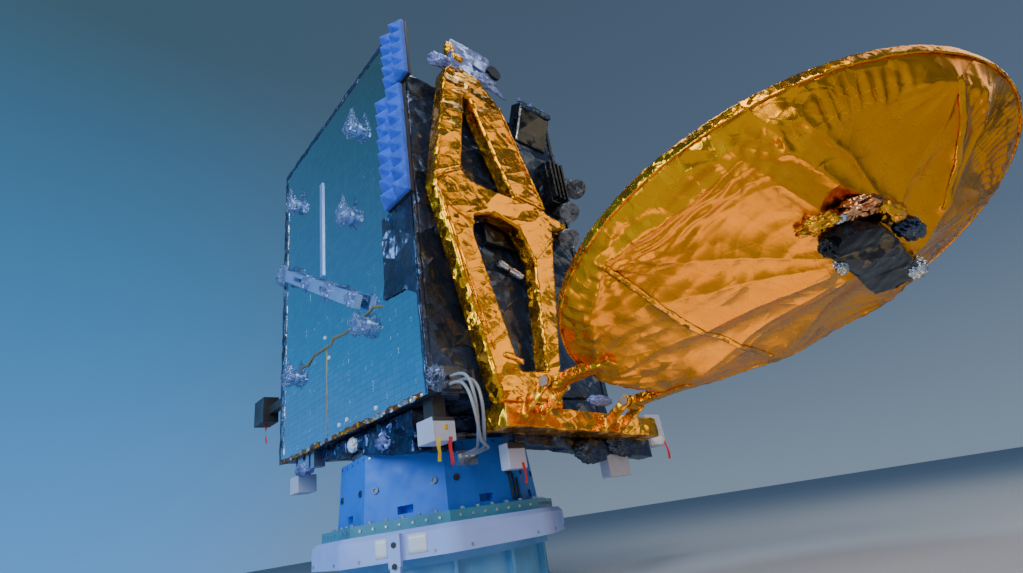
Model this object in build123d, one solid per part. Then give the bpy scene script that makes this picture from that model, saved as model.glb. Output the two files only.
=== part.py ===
"""Communications satellite on its test stand, one deployed reflector, solar wings not fitted.

Millimetres, +Z up. The origin is the middle of the stand's underside, on the floor. The mirror radiators
face -Y and +Y, and the gold A-shaped frame and the reflector's hinge are on the +X wall.
"""
import os
from math import cos, pi, radians, sin, tan

from build123d import *

# Body
BODY_Z = 1050            # height of the body's lower edge above the floor
BODY_X = 2100            # width over the +X and -X walls
CORE_Y = 1400            # depth between the two radiators
WALL_LINE = 300          # the +X wall's pieces count Y from this line, off the body's middle
CORE_H = 2240            # height of the walls
RADIATOR_H = 2690        # height of the radiators, which stand above the upper deck
RADIATOR_T = 28
RADIATOR_CUT = (145, 240)            # corner cut off the +X upper corner, across and down
WALL_T = 30
DECK_T = 30
TUBE_R = 420             # central load tube, closed in
SEAT = 0.3               # gap left at a rounded or soft seat

# Stand
BASE_R = 690
BASE_H = 290
BASE_FLANGE_R = 735
BASE_FLANGE_T = 22
RING_R = 860             # over the corners of the eight-sided turntable ring
RING_H = 150
RING_CORNER = 165
PLATE_R = 785
PLATE_T = 60
ADAPTER_FOOT_R = 685     # over the corners
ADAPTER_TOP_R = 652
ADAPTER_H = 400
STAND_TURN = 14          # degrees that the eight-sided pieces are turned about +Z
CUP_R = 20
CUP_T = 9
CUP_GAP = 370            # between the two cups on one face
SLOT_W = 98
SLOT_H = 44
SLOT_DEEP = 70
CLAMP_R = 580
CLAMP_H = 46

# Gold frame on the +X wall: outlines in (Y from the wall's line, height above the body's lower edge)
FRAME_GAP = 60           # clearance between the wall and the frame
FRAME_T = 110
FRAME_FOOT_Y = (-685, -215)          # the foot stands on the hinge box between these
FRAME_OUTLINE = ((-975, 1250), (-785, 2250), (-705, 2350), (-470, 2325), (-305, 2120),
                 (-20, 1290), (130, 1262), (118, 1195), (12, 1150), (-180, 100))
FRAME_UPPER_HOLE = ((-745, 1400), (-640, 2070), (-598, 2070), (-325, 1325), (-480, 1325), (-690, 1345))
FRAME_LOWER_HOLE = ((-505, 105), (-715, 945), (-690, 1075), (-525, 1135), (-330, 1085), (-235, 860),
                    (-305, 115))
FRAME_FEET = ((-640, 60), (-860, 1000), (-890, 1420), (-730, 2190), (-400, 2150), (-60, 1230), (-240, 60))
FRAME_FOOT_R = 34

# Reflector, in its own frame: u outboard, v sideways, n along its boresight
DISH_U = 1035            # half length
DISH_V = 975             # half width
DISH_SAG = 150
DISH_T = 16
RIM_T = 14
RIM_H = 42
REFLECTOR_AT = (2510, -100, 255)     # middle of the rim, heights from the body's lower edge
REFLECTOR_TILT = 14.1    # degrees, outboard edge up
REFLECTOR_CANT = -7.7    # degrees about X, shared by the hinge line
HINGE_REACH = 1150       # from the dish's middle to the hinge line, along u
HINGE_DROP = 50          # hinge line below the rim's plane
TENT_RING = ((-330, -790, 95), (310, -770, 105), (880, -370, 90), (790, 430, 100), (250, 800, 105),
             (-400, 745, 120), (-900, 350, 120), (-930, -240, 125))     # u, v, depth below the rim
TENT_HUB_AT = (350, 0)
TENT_HUB_R = 150
TENT_DEPTH = 235
HUB_AT = (345, -50)
HUB_SIZE = (200, 600, 90)
HUB_CUT = 70

# Hinge of the reflector
PIN_R = 20
PIN_CLEARANCE = 0.06
KNUCKLE_R = 42
KNUCKLE_W = 90
LUG_T = 30
LUG_GAP = 5.5
ARM_V = 330              # arms and lugs lie this far each side of the dish's middle
HINGE_BOX_X = 190        # the frame's foot stands on it
HINGE_BOX_Y = (-695, 650)
HINGE_BOX_H = 130
HINGE_BOX_DROP = 45      # top of the box below the hinge line
HINGE_BOX_CANT = -3.5    # degrees about X

# Pieces on the mirror radiators: (X, height)
WING_PATTERN_AT = (-185, 1405)       # middle of the four wing hold-downs
WING_PATTERN = (1170, 1590)          # spacing along X and along Z
SPARE_HOLD_DOWN = (230, 1520)
HOLD_DOWN_R = 42
HOLD_DOWN_H = 70
BAR_ENDS = ((-960, 1590), (420, 760))
BAR_W = 92
BAR_T = 44
BAR_GAP = 30
BAR_SLOT = 190
FOAM_BOARD_T = 20
FOAM_TOOTH = 68          # pitch and height of the foam pyramids
FOAM_STRIPS = ((925, 1165, 2095, 2580), (800, 1080, 1225, 2075))     # X from, to, height from, to
FLAP_T = 14


def block(x_from, x_to, y_from, y_to, z_from, z_to):
    """Box between six limits."""
    size = (x_to - x_from, y_to - y_from, z_to - z_from)
    middle = ((x_from + x_to) / 2, (y_from + y_to) / 2, (z_from + z_to) / 2)
    return Pos(*middle) * Box(*size)


def body_block(x_from, x_to, y_from, y_to, z_from, z_to):
    """Box whose heights are counted from the body's lower edge."""
    return block(x_from, x_to, y_from, y_to, BODY_Z + z_from, BODY_Z + z_to)


def wall_block(x_from, x_to, y_from, y_to, z_from, z_to):
    """Box on the +X wall, its Y counted from the wall's line."""
    return body_block(x_from, x_to, WALL_LINE + y_from, WALL_LINE + y_to, z_from, z_to)


def rod(start, end, radius):
    """Round bar from one point to another."""
    start, end = Vector(*start), Vector(*end)
    plane = Plane(origin=start, z_dir=end - start)
    return extrude(plane * Circle(radius), amount=(end - start).length)


def wall_plate(outline, x_from, thickness, holes=()):
    """Plate parallel to the +X wall, from outlines in (Y from its line, height above the body)."""
    plane = Plane.YZ.offset(x_from)
    face = make_face(Polyline(*[(WALL_LINE + y, BODY_Z + z) for y, z in outline], close=True))
    for hole in holes:
        face -= make_face(Polyline(*[(WALL_LINE + y, BODY_Z + z) for y, z in hole], close=True))
    return extrude(plane * face, amount=thickness)


def mirrored_y(shape):
    """The same piece on the other side."""
    return mirror(shape, about=Plane.XZ)


def joined(shapes):
    """One compound of solids that don't touch."""
    return Compound(children=[solid for shape in shapes for solid in shape.solids()])


def polyhedron(points, faces):
    """Closed solid from corner points and faces that list them."""
    sides = [Face(Wire.make_polygon([Vector(*points[i]) for i in face])) for face in faces]
    return Solid(Shell(sides))


# Stand

RING_Z = BASE_H
PLATE_Z = RING_Z + RING_H
ADAPTER_Z = PLATE_Z + PLATE_T
CLAMP_Z = ADAPTER_Z + ADAPTER_H
CONE_Z = CLAMP_Z + CLAMP_H
CONE_TOP_R = 665


def eight_sided(radius, turn=STAND_TURN):
    """Eight-sided outline by its corner radius."""
    return RegularPolygon(radius, 8, rotation=turn)


def stand_base():
    """Drum between two rims, with upright ribs round its waist, on a floor flange."""
    rim = 45
    drum = Pos(0, 0, BASE_H / 2) * Cylinder(BASE_R - rim, BASE_H)
    for z in (rim / 2, BASE_H - rim / 2):
        drum += Pos(0, 0, z) * Cylinder(BASE_R, rim)
    drum += Pos(0, 0, BASE_FLANGE_T / 2) * Cylinder(BASE_FLANGE_R, BASE_FLANGE_T)
    for angle in range(0, 360, 30):
        drum += Rot(0, 0, angle) * Pos(BASE_R - rim, 0, BASE_H / 2) * Box(2 * rim - 8, 22, BASE_H - 2 * rim)
    return drum


def turntable_ring():
    """Eight-sided ring with rounded corners and a bevelled upper edge."""
    outline = eight_sided(RING_R)
    outline = fillet(outline.vertices(), RING_CORNER)
    ring = extrude(Pos(0, 0, RING_Z) * outline, amount=RING_H)
    top_edges = ring.faces().sort_by(Axis.Z)[-1].edges()
    return chamfer(top_edges, 26)


def ring_latch():
    """Latch brackets on the ring's front and back."""
    latches = []
    reach = RING_R * cos(radians(22.5))
    for angle in (STAND_TURN - 67.5, STAND_TURN + 112.5):
        arm = Pos(reach + 14 + SEAT, 0, RING_Z + RING_H / 2 - 22) * Box(28, 70, RING_H + 12)
        foot = Pos(reach + 12 + SEAT, 0, RING_Z - 65) * Box(24, 56, 90)
        latches.append(Rot(0, 0, angle) * (arm + foot))
    return joined(latches)


def flange_plate():
    """Thin plate between the ring and the adapter."""
    return extrude(Pos(0, 0, PLATE_Z) * eight_sided(PLATE_R), amount=PLATE_T)


def adapter_flat(height):
    """Distance from the axis to an adapter face at a height above its foot."""
    radius = ADAPTER_FOOT_R + (ADAPTER_TOP_R - ADAPTER_FOOT_R) * height / ADAPTER_H
    return radius * cos(radians(22.5))


def octagon_adapter():
    """Tapered eight-sided box with a slot near the foot of each face."""
    foot = Pos(0, 0, ADAPTER_Z) * eight_sided(ADAPTER_FOOT_R)
    top = Pos(0, 0, CLAMP_Z) * eight_sided(ADAPTER_TOP_R)
    adapter = loft([foot, top])
    for side in range(8):
        reach = adapter_flat(SLOT_H)
        slot = Pos(reach, 0, ADAPTER_Z + 26 + SLOT_H / 2) * Box(2 * SLOT_DEEP, SLOT_W, SLOT_H)
        adapter -= Rot(0, 0, STAND_TURN + 22.5 + 45 * side) * slot
    return adapter


def adapter_cups():
    """Two round lifting cups on each adapter face, cut to sit on the tapered face."""
    cups = []
    height = ADAPTER_H * 0.45
    lean = -(ADAPTER_FOOT_R - ADAPTER_TOP_R) * cos(radians(22.5)) / ADAPTER_H
    for side in range(8):
        for offset in (-CUP_GAP / 2, CUP_GAP / 2):
            origin = (adapter_flat(height), offset, ADAPTER_Z + height)
            seat = Plane(origin=origin, z_dir=(1, 0, -lean))
            cup = extrude(seat * Circle(CUP_R), amount=CUP_T) - extrude(seat.offset(3) * Circle(CUP_R - 8), amount=CUP_T)
            cups.append(Rot(0, 0, STAND_TURN + 22.5 + 45 * side) * cup)
    return joined(cups)


def clamp_ring():
    """Clamp band that holds the satellite's interface ring on the adapter."""
    band = Pos(0, 0, CLAMP_Z + CLAMP_H / 2) * Cylinder(CLAMP_R, CLAMP_H)
    groove = Pos(0, 0, CLAMP_Z + CLAMP_H / 2) * (Cylinder(CLAMP_R + 1, 16) - Cylinder(CLAMP_R - 12, 16))
    return band - groove


# Body

X_WALL = BODY_X / 2
Y_CORE = CORE_Y / 2
Y_MIRROR = Y_CORE + RADIATOR_T


def adapter_cone():
    """Blanketed cone from the lower deck down to the clamp band."""
    height = BODY_Z - CONE_Z
    return Pos(0, 0, CONE_Z + height / 2) * Cone(CLAMP_R - 20, CONE_TOP_R, height)


def east_wall():
    return body_block(X_WALL - WALL_T, X_WALL, -Y_CORE, Y_CORE, 0, CORE_H)


def west_wall():
    return body_block(-X_WALL, -X_WALL + WALL_T, -Y_CORE, Y_CORE, 0, CORE_H)


def base_deck():
    return body_block(-X_WALL + WALL_T, X_WALL - WALL_T, -Y_CORE, Y_CORE, 0, DECK_T)


def earth_deck():
    return body_block(-X_WALL + WALL_T, X_WALL - WALL_T, -Y_CORE, Y_CORE, CORE_H - DECK_T, CORE_H)


def radiator_south():
    """Mirror-faced radiator with its upper +X corner cut off."""
    across, down = RADIATOR_CUT
    outline = ((-X_WALL, 0), (X_WALL, 0), (X_WALL, RADIATOR_H - down), (X_WALL - across, RADIATOR_H),
               (-X_WALL, RADIATOR_H))
    plane = Plane(origin=(0, -Y_CORE, BODY_Z), x_dir=(1, 0, 0), z_dir=(0, -1, 0))
    return extrude(plane * make_face(Polyline(*outline, close=True)), amount=RADIATOR_T)


def central_tube():
    """Plain block for the load tube and its tanks, the body's heavy middle."""
    height = CORE_H - 2 * DECK_T
    return Pos(0, 0, BODY_Z + DECK_T + height / 2) * Cylinder(TUBE_R, height)


# Pieces on the radiators

def hold_downs():
    """Capped hold-down cups for the folded solar wing, standing on the radiator."""
    cups = []
    corners = [(WING_PATTERN_AT[0] + side * WING_PATTERN[0] / 2, WING_PATTERN_AT[1] + level * WING_PATTERN[1] / 2)
               for side in (-1, 1) for level in (-1, 1)]
    for x, z in (*corners, SPARE_HOLD_DOWN):
        plane = Plane(origin=(x, -Y_MIRROR, BODY_Z + z), z_dir=(0, -1, 0))
        cup = extrude(plane * Circle(HOLD_DOWN_R + 14), amount=12)
        cup += extrude(plane.offset(12) * Circle(HOLD_DOWN_R), amount=HOLD_DOWN_H - 12)
        cup -= extrude(plane.offset(30) * Circle(HOLD_DOWN_R - 14), amount=HOLD_DOWN_H)
        cups.append(cup)
    return joined(cups)


def array_bar():
    """Slotted root bar of the missing solar wing, on three blocks."""
    (x0, z0), (x1, z1) = BAR_ENDS
    start, end = Vector(x0, 0, z0), Vector(x1, 0, z1)
    length = (end - start).length
    middle = (start + end) / 2
    plane = Plane(origin=(middle.X, -Y_MIRROR, BODY_Z + middle.Z), x_dir=end - start, z_dir=(0, -1, 0))
    bar = Pos(0, 0, BAR_GAP + BAR_T / 2) * Box(length, BAR_W, BAR_T)
    for at in (-length * 0.2, length * 0.16):
        bar -= Pos(at, 0, BAR_GAP + BAR_T / 2) * Box(BAR_SLOT, BAR_W * 0.36, BAR_T + 2)
    for at in (-length * 0.38, -length * 0.02, length * 0.38):
        bar += Pos(at, 0, BAR_GAP / 2) * Box(BAR_W, BAR_W, BAR_GAP)
    return plane.location * bar


def cable_duct():
    """Upright strip that covers the wiring between the upper panel and the root bar."""
    return body_block(-262, -214, -Y_MIRROR - 10, -Y_MIRROR, 1250, 2100)


def foam_board():
    """Board behind the absorber foam on the radiator's upright edge."""
    boards = [body_block(x0, x1, -Y_MIRROR - FOAM_BOARD_T, -Y_MIRROR, z0, z1) for x0, x1, z0, z1 in FOAM_STRIPS]
    return joined(boards)


def foam_teeth():
    """Blue absorber foam: rows of pyramids in two columns."""
    y_base = -Y_MIRROR - FOAM_BOARD_T
    strips = []
    for x0, x1, z0, z1 in FOAM_STRIPS:
        columns = max(2, round((x1 - x0) / 125))
        rows = max(2, round((z1 - z0) / 105))
        step_x, step_z = (x1 - x0) / columns, (z1 - z0) / rows
        strip = body_block(x0, x1, y_base - 26, y_base, z0, z1)
        for column in range(columns):
            for row in range(rows):
                at = (x0 + step_x * (column + 0.5), y_base - 26, BODY_Z + z0 + step_z * (row + 0.5))
                foot = Plane(origin=at, x_dir=(1, 0, 0), z_dir=(0, -1, 0))
                tip = foot.offset(FOAM_TOOTH)
                strip += loft([foot * Rectangle(step_x, step_z), tip * Rectangle(6, 6)])
        strips.append(strip)
    return joined(strips)


def edge_flap():
    """Black foil flap over the radiator's upright edge, stepping back below."""
    top = FOAM_STRIPS[1][2]
    outline = ((668, 670), (690, top), (X_WALL, top), (X_WALL, 0), (1020, 0), (1020, 570), (900, 640))
    plane = Plane(origin=(0, -Y_MIRROR, BODY_Z), x_dir=(1, 0, 0), z_dir=(0, -1, 0))
    return extrude(plane * make_face(Polyline(*outline, close=True)), amount=FLAP_T)


def west_box():
    """Small black box on an arm that stands out from the -X wall."""
    arm = body_block(-X_WALL - 420, -X_WALL, -Y_CORE + 20, -Y_CORE + 70, 490, 560)
    return arm + body_block(-X_WALL - 650, -X_WALL - 420, -Y_MIRROR, -Y_CORE + 100, 425, 640)


# Pieces on the +X wall

FRAME_X = X_WALL + FRAME_GAP


def hinge_box_top(y):
    """Height of the canted hinge box's top at Y from the wall's line, above the body's lower edge."""
    return HINGE_AT.Z - HINGE_BOX_DROP - BODY_Z + (WALL_LINE + y - HINGE_AT.Y) * tan(radians(HINGE_BOX_CANT))


def frame_head(y):
    """Height of the frame's head at Y, from the body's lower edge."""
    (y0, z0), (y1, z1) = FRAME_OUTLINE[2:4]
    return z0 + (y - y0) * (z1 - z0) / (y1 - y0)


def a_frame():
    """Foil-wrapped A-shaped frame, its long edges slightly eased."""
    foot = [(y, hinge_box_top(y)) for y in reversed(FRAME_FOOT_Y)]
    frame = wall_plate((*FRAME_OUTLINE, *foot), FRAME_X, FRAME_T, (FRAME_UPPER_HOLE, FRAME_LOWER_HOLE))
    front = frame.faces().sort_by(Axis.X)[-1]
    return chamfer(front.edges(), 14)


def frame_feet():
    """Short posts between the wall and the frame."""
    return joined([rod((X_WALL, WALL_LINE + y, BODY_Z + z), (FRAME_X, WALL_LINE + y, BODY_Z + z), FRAME_FOOT_R)
                   for y, z in FRAME_FEET])


HEAD_FOOT_Y = (-690, -490)
HEAD_PLATE = ((-470, 2600), (-290, 2560), (-225, 2700), (-225, 2760), (-600, 2750), (-680, 2560))
HEAD_PLATE_T = 26
HEAD_PLATE_X = FRAME_X - 16
DISC_AT = (-182, 2633)
DISC_R = 62


def apex_bracket():
    """Hold-down bracket on the frame's head, with a film-covered plate."""
    low, high = HEAD_FOOT_Y
    foot = wall_plate(((low, frame_head(low)), (high, frame_head(high)), (high, 2480), (low, 2500)),
                      FRAME_X + 10, FRAME_T - 30)
    neck = wall_plate(((low + 30, 2400), (high - 20, 2400), (high - 20, 2640), (low + 30, 2640)), FRAME_X + 10, 34)
    return foot + neck + wall_plate(HEAD_PLATE, HEAD_PLATE_X, HEAD_PLATE_T)


def apex_disc():
    """Round dark target on an ear beside the head plate."""
    plane = Plane.YZ.offset(HEAD_PLATE_X)
    disc = extrude(plane * Pos(WALL_LINE + DISC_AT[0], BODY_Z + DISC_AT[1]) * Circle(DISC_R), amount=HEAD_PLATE_T)
    ear = wall_plate(((-290, 2610), (-200, 2610), (-200, 2656), (-290, 2656)), HEAD_PLATE_X, HEAD_PLATE_T)
    return disc + ear - wall_plate(HEAD_PLATE, HEAD_PLATE_X - 1, HEAD_PLATE_T + 2)


LEANING_BOX_Y = (-20, 310)
LEANING_BOX_FOOT = 2056  # its lower edge, just off the wall
LEANING_BOX_H = 330
LEANING_BOX_T = 120
LEANING_BOX_LEAN = 23.5  # degrees outward at the top


def deck_box():
    """Black box at the wall's upper edge, leaning outward towards the dish, with studs on top."""
    low, high = LEANING_BOX_Y
    box = Pos(-LEANING_BOX_T / 2, 0, LEANING_BOX_H / 2) * Box(LEANING_BOX_T, high - low, LEANING_BOX_H)
    for at in (-0.4, 0, 0.4):
        box += Pos(-LEANING_BOX_T / 2, at * (high - low), LEANING_BOX_H + 14) * Cylinder(14, 28)
    box = Pos(X_WALL + 10, WALL_LINE + (low + high) / 2, BODY_Z + LEANING_BOX_FOOT) * Rot(0, LEANING_BOX_LEAN, 0) * box
    return box - wall_block(X_WALL - 400, X_WALL, low - 50, high + 50, LEANING_BOX_FOOT - 100, CORE_H)


def wall_box():
    """Shallow equipment box seen through the frame's lower opening."""
    return wall_block(X_WALL, X_WALL + 52, -520, -170, 985, 1245)


def foil_roll():
    """Small rolled piece on the wall below the box."""
    return rod((X_WALL + 26 + SEAT, WALL_LINE - 425, BODY_Z + 872),
               (X_WALL + 26 + SEAT, WALL_LINE - 240, BODY_Z + 800), 26)


def feed_base():
    """Finned tower that carries the feed horns, cut to them."""
    tower = wall_block(X_WALL, X_WALL + 110, 150, 315, 1480, 1850)
    for y in range(156, 315, 42):
        tower += wall_block(X_WALL + 110, X_WALL + 160, y, y + 22, 1500, 1840)
    return tower - feed_horns()


def feed_horns():
    """Three capped horns beside the tower, aimed at the dish, the topmost on a bracket past the wall."""
    horns = []
    aim = Vector(0.62, -0.26, -0.74)
    for y, z in ((457, 1746), (302, 1481), (227, 1231)):
        base = Vector(X_WALL + 74, WALL_LINE + y, BODY_Z + z)
        plane = Plane(origin=base, z_dir=aim)
        horn = loft([plane * Circle(46), plane.offset(110) * Circle(78)])
        horn += extrude(plane.offset(110) * Circle(84), amount=26)
        foot = wall_block(X_WALL, X_WALL + 80, min(y - 60, 250), y + 60, z - 40, z + 70)
        horns.append(foot + horn)
    return joined(horns)


def connector_block():
    """Test connector block at the wall's lower corner."""
    shell = wall_block(X_WALL, X_WALL + 62, -985, -865, 10, 130)
    for route in CABLE_ROUTES.values():
        x, y, z = route[0]
        shell += Pos(x - GLAND_L / 2, y, z) * Rot(0, 90, 0) * Cylinder(GLAND_R, GLAND_L)
    return shell


def connector_plate():
    """Upright bracket plate that the test cables pass over."""
    return wall_block(X_WALL, X_WALL + 70, -792, -776, 20, 120)


BAND_END = 800           # the beam's far end, past the wall's edge


def belly_band():
    """Black-wrapped beam under the wall that carries the hinge box and runs on past the wall's edge."""
    edge = Y_CORE - WALL_LINE
    outline = ((-480, 0), (edge, 0), (edge, -120), (BAND_END, -190), (BAND_END, -400), (-480, -272))
    return wall_plate(outline, X_WALL - 130, 130)


def corner_covers():
    """Middles of the three covers that hang from the lower deck's corners."""
    return ((X_WALL - 115, -Y_CORE + 72), (-X_WALL + 120, -Y_CORE + 110), (-X_WALL + 120, Y_CORE - 110))


def thruster_covers():
    """White protective boxes over the thrusters, below the lower deck and on the beam."""
    covers = [body_block(x - 76, x + 76, y - 72, y + 72, -235, -110) for x, y in corner_covers()]
    covers.append(wall_block(X_WALL - 170, X_WALL + 15, BAND_END, BAND_END + 185, -320, -100))
    band = belly_band()
    for y0, y1, low in ((-545, -412, -400), (300, 520, -495)):
        covers.append(wall_block(X_WALL - 85, X_WALL - 8, y0, y1, low, -260) - band)
    return joined(covers)


def cover_arms():
    """Black arms that hold the corner covers below the deck."""
    return joined([body_block(x - 45, x + 45, y - 40, y + 40, -110, 0) for x, y in corner_covers()])


def belly_blanket():
    """Foil-wrapped bundle under the deck along both radiators, cut clear of the cone and the adapter."""
    outline = ((-450, 0), (760, 0), (760, -245), (690, -245), (280, -175), (45, -150), (-420, -90))
    plane = Plane(origin=(0, -Y_CORE + 320, BODY_Z), x_dir=(1, 0, 0), z_dir=(0, -1, 0))
    south = extrude(plane * make_face(Polyline(*outline, close=True)), amount=280) - adapter_cone()
    south -= Pos(0, 0, ADAPTER_Z + ADAPTER_H / 2 + CLAMP_H / 2) * Cylinder(ADAPTER_TOP_R + 25, ADAPTER_H + CLAMP_H)
    return joined([south, mirrored_y(south)])


def belly_brackets():
    """Small brackets and a blue box under the lower deck's -Y edge."""
    pieces = [body_block(x, x + width, -Y_CORE + 10, -Y_CORE + 90, -height, 0)
              for x, width, height in ((-780, 90, 120), (-640, 60, 90), (-550, 60, 110))]
    return joined(pieces)


# Hinge and reflector

CANT = radians(REFLECTOR_CANT)
TILT = radians(REFLECTOR_TILT)
DISH_CENTRE = Vector(REFLECTOR_AT[0], WALL_LINE + REFLECTOR_AT[1], REFLECTOR_AT[2] + BODY_Z)
ACROSS = Vector(0, cos(CANT), sin(CANT))
UP = Vector(0, -sin(CANT), cos(CANT))
OUTWARD = Vector(1, 0, 0) * cos(TILT) + UP * sin(TILT)
BORESIGHT = Vector(-1, 0, 0) * sin(TILT) + UP * cos(TILT)
HINGE_AT = DISH_CENTRE - OUTWARD * HINGE_REACH - BORESIGHT * HINGE_DROP
DISH_PLANE = Plane(origin=DISH_CENTRE, x_dir=OUTWARD, z_dir=BORESIGHT)
HINGE_PLANE = Plane(origin=HINGE_AT, x_dir=(1, 0, 0), z_dir=UP)
CAP_R = (DISH_U ** 2 + DISH_SAG ** 2) / (2 * DISH_SAG)
LUG_PAIRS = [side * (ARM_V + way * (KNUCKLE_W / 2 + LUG_GAP + LUG_T / 2)) for side in (-1, 1) for way in (-1, 1)]


def hinge_box_front():
    return X_WALL + HINGE_BOX_X - HINGE_AT.X


def hinge_base():
    """Foil-wrapped hinge box across the wall's foot, with four lugs that hold the pins."""
    corners = [(y, hinge_box_top(y)) for y in HINGE_BOX_Y]
    corners += [(y, z - HINGE_BOX_H) for y, z in reversed(corners)]
    box = HINGE_PLANE.location.inverse() * wall_plate(corners, X_WALL, HINGE_BOX_X)
    root = Pos(hinge_box_front() - 7, -HINGE_BOX_DROP - HINGE_BOX_H / 2) * Rectangle(14, HINGE_BOX_H - 60)
    for at in LUG_PAIRS:
        eye = Plane.XZ.offset(-at - LUG_T / 2)
        box += extrude(eye * make_hull([*Circle(KNUCKLE_R).edges(), *root.edges()]), amount=LUG_T)
    for side in (-1, 1):
        box -= Pos(0, side * ARM_V, 0) * Rot(90, 0, 0) * Cylinder(PIN_R, KNUCKLE_W + 2 * (LUG_GAP + LUG_T) + 2)
    return HINGE_PLANE.location * box


def hinge_pins():
    """Two headed pins, tight in their lugs."""
    pins = []
    for side in (-1, 1):
        length = KNUCKLE_W + 2 * (LUG_GAP + LUG_T)
        pin = Rot(90, 0, 0) * Cylinder(PIN_R, length)
        pin += Pos(0, length / 2 + 5, 0) * Rot(90, 0, 0) * Cylinder(PIN_R + 9, 10)
        pin += Pos(0, -length / 2 - 5, 0) * Rot(90, 0, 0) * Cylinder(PIN_R + 9, 10)
        pins.append(HINGE_PLANE.location * Pos(0, side * ARM_V, 0) * pin)
    return joined(pins)


def dish_cap(radius):
    """Ball whose lower cap is the dish's surface, about the shared centre."""
    return Pos(0, 0, CAP_R - DISH_SAG) * Sphere(radius)


def reflector_dish():
    """Thin bowl cut from a ball shell by the oval rim."""
    inset = RIM_T + SEAT
    oval = extrude(Pos(0, 0, -DISH_SAG - 2 * DISH_T) * Ellipse(DISH_U - inset, DISH_V - inset),
                   amount=DISH_SAG + 2 * DISH_T)
    shell = (oval & dish_cap(CAP_R + DISH_T)) - dish_cap(CAP_R)
    return DISH_PLANE.location * shell


def reflector_rim():
    """Edge band round the bowl."""
    band = extrude(Pos(0, 0, -RIM_H) * (Ellipse(DISH_U, DISH_V) - Ellipse(DISH_U - RIM_T, DISH_V - RIM_T)),
                   amount=RIM_H + 6)
    return DISH_PLANE.location * band


def tent_points():
    """Corner points of the foil tent: edge, knuckle ring and hub pad."""
    count = 3 * len(TENT_RING)
    edge = []
    ring_start = 247.5
    for i in range(count):
        angle = radians(ring_start + 360 * i / count)
        edge.append(((DISH_U - RIM_T) * cos(angle) * 0.995, (DISH_V - RIM_T) * sin(angle) * 0.995, -RIM_H + 10))
    ring = [(u, v, -depth) for u, v, depth in TENT_RING]
    hub = []
    for i in range(len(TENT_RING)):
        angle = radians(ring_start + 360 * i / len(TENT_RING))
        hub.append((TENT_HUB_AT[0] + TENT_HUB_R * cos(angle), TENT_HUB_AT[1] + TENT_HUB_R * sin(angle), -TENT_DEPTH))
    return edge, ring, hub


def tent_solid():
    """Faceted solid under the bowl, in the dish's own frame."""
    edge, ring, hub = tent_points()
    points = edge + ring + hub
    edge_count, ring_count = len(edge), len(ring)
    faces = [tuple(range(edge_count))]
    for i in range(ring_count):
        here, after = edge_count + i, edge_count + (i + 1) % ring_count
        hub_here, hub_after = here + ring_count, after + ring_count
        fan = [(3 * i + k) % edge_count for k in (-1, 0, 1, 2)]
        faces += [(fan[0], fan[1], here), (fan[1], fan[2], here), (fan[2], fan[3], after), (fan[2], after, here)]
        faces += [(here, after, hub_after), (here, hub_after, hub_here)]
    faces.append(tuple(range(edge_count + ring_count, edge_count + 2 * ring_count)))
    return polyhedron(points, faces)


def reflector_tent():
    """Foil tent over the back structure, hollowed by the bowl it covers."""
    tent = tent_solid() - dish_cap(CAP_R + DISH_T + 1)
    return DISH_PLANE.location * tent


def reflector_hub():
    """Wrapped fitting across the tent's pad, cut to the foil it stands on."""
    long, wide, tall = HUB_SIZE
    hub = Pos(HUB_AT[0], HUB_AT[1], -TENT_DEPTH) * Box(long, wide, 2 * tall)
    hub = chamfer(hub.edges().filter_by(Axis.Z), HUB_CUT) - tent_solid()
    return DISH_PLANE.location * hub.solids().sort_by(Axis.Z)[0]


def reflector_arms():
    """Two arms from the hinge knuckles to the tent's inboard side."""
    arms = []
    for side in (-1, 1):
        knuckle = Rot(90, 0, 0) * Cylinder(KNUCKLE_R, KNUCKLE_W)
        arm = Pos(200, 0, -40) * Rot(0, 12, 0) * Box(400, KNUCKLE_W - 20, 60)
        piece = knuckle + arm - Rot(90, 0, 0) * Cylinder(PIN_R + PIN_CLEARANCE, KNUCKLE_W + 2)
        at = Pos(-HINGE_REACH, side * ARM_V, -HINGE_DROP)
        arms.append(at * piece)
    tent = tent_solid()
    return DISH_PLANE.location * joined([arm - tent for arm in arms])


# Test cables

CABLE_R = 9
CABLE_BOX_AT = -150      # along the adapter's face, towards the corner nearest the test connector
CABLE_BOX = (92, 130, 84)            # out from the face, along it, up
CABLE_BOX_TOP = 316      # above the adapter's foot
GLAND_R = 13
GLAND_L = 18
CABLE_STARTS = {         # X from the wall, Y from its line
    "test_cable_1": ((80, -942, 1118), (160, -942, 1118), (212, -930, 1080), (212, -905, 985), (165, -865, 895)),
    "test_cable_2": ((80, -906, 1092), (162, -906, 1092), (220, -890, 1050), (218, -868, 960), (172, -835, 872)),
    "test_cable_3": ((80, -950, 1078), (155, -950, 1078), (200, -938, 1030), (202, -912, 940), (165, -868, 848)),
}
CABLE_ENDS = {
    "test_cable_1": ((1125, -500, 842), (1020, -425, 812), (920, -355, 793), (835.2, -316.9, 790), (706.6, -297.7, 790)),
    "test_cable_2": ((1140, -475, 822), (1030, -390, 800), (930, -315, 790), (841.1, -277.4, 790), (712.5, -258.2, 790)),
    "test_cable_3": ((1130, -500, 795), (1040, -390, 780), (940, -290, 786), (847.0, -237.8, 790), (718.4, -218.6, 790)),
}
CABLE_ROUTES = {name: (*[(X_WALL + x, WALL_LINE + y, z) for x, y, z in start], *CABLE_ENDS[name])
                for name, start in CABLE_STARTS.items()}


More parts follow.
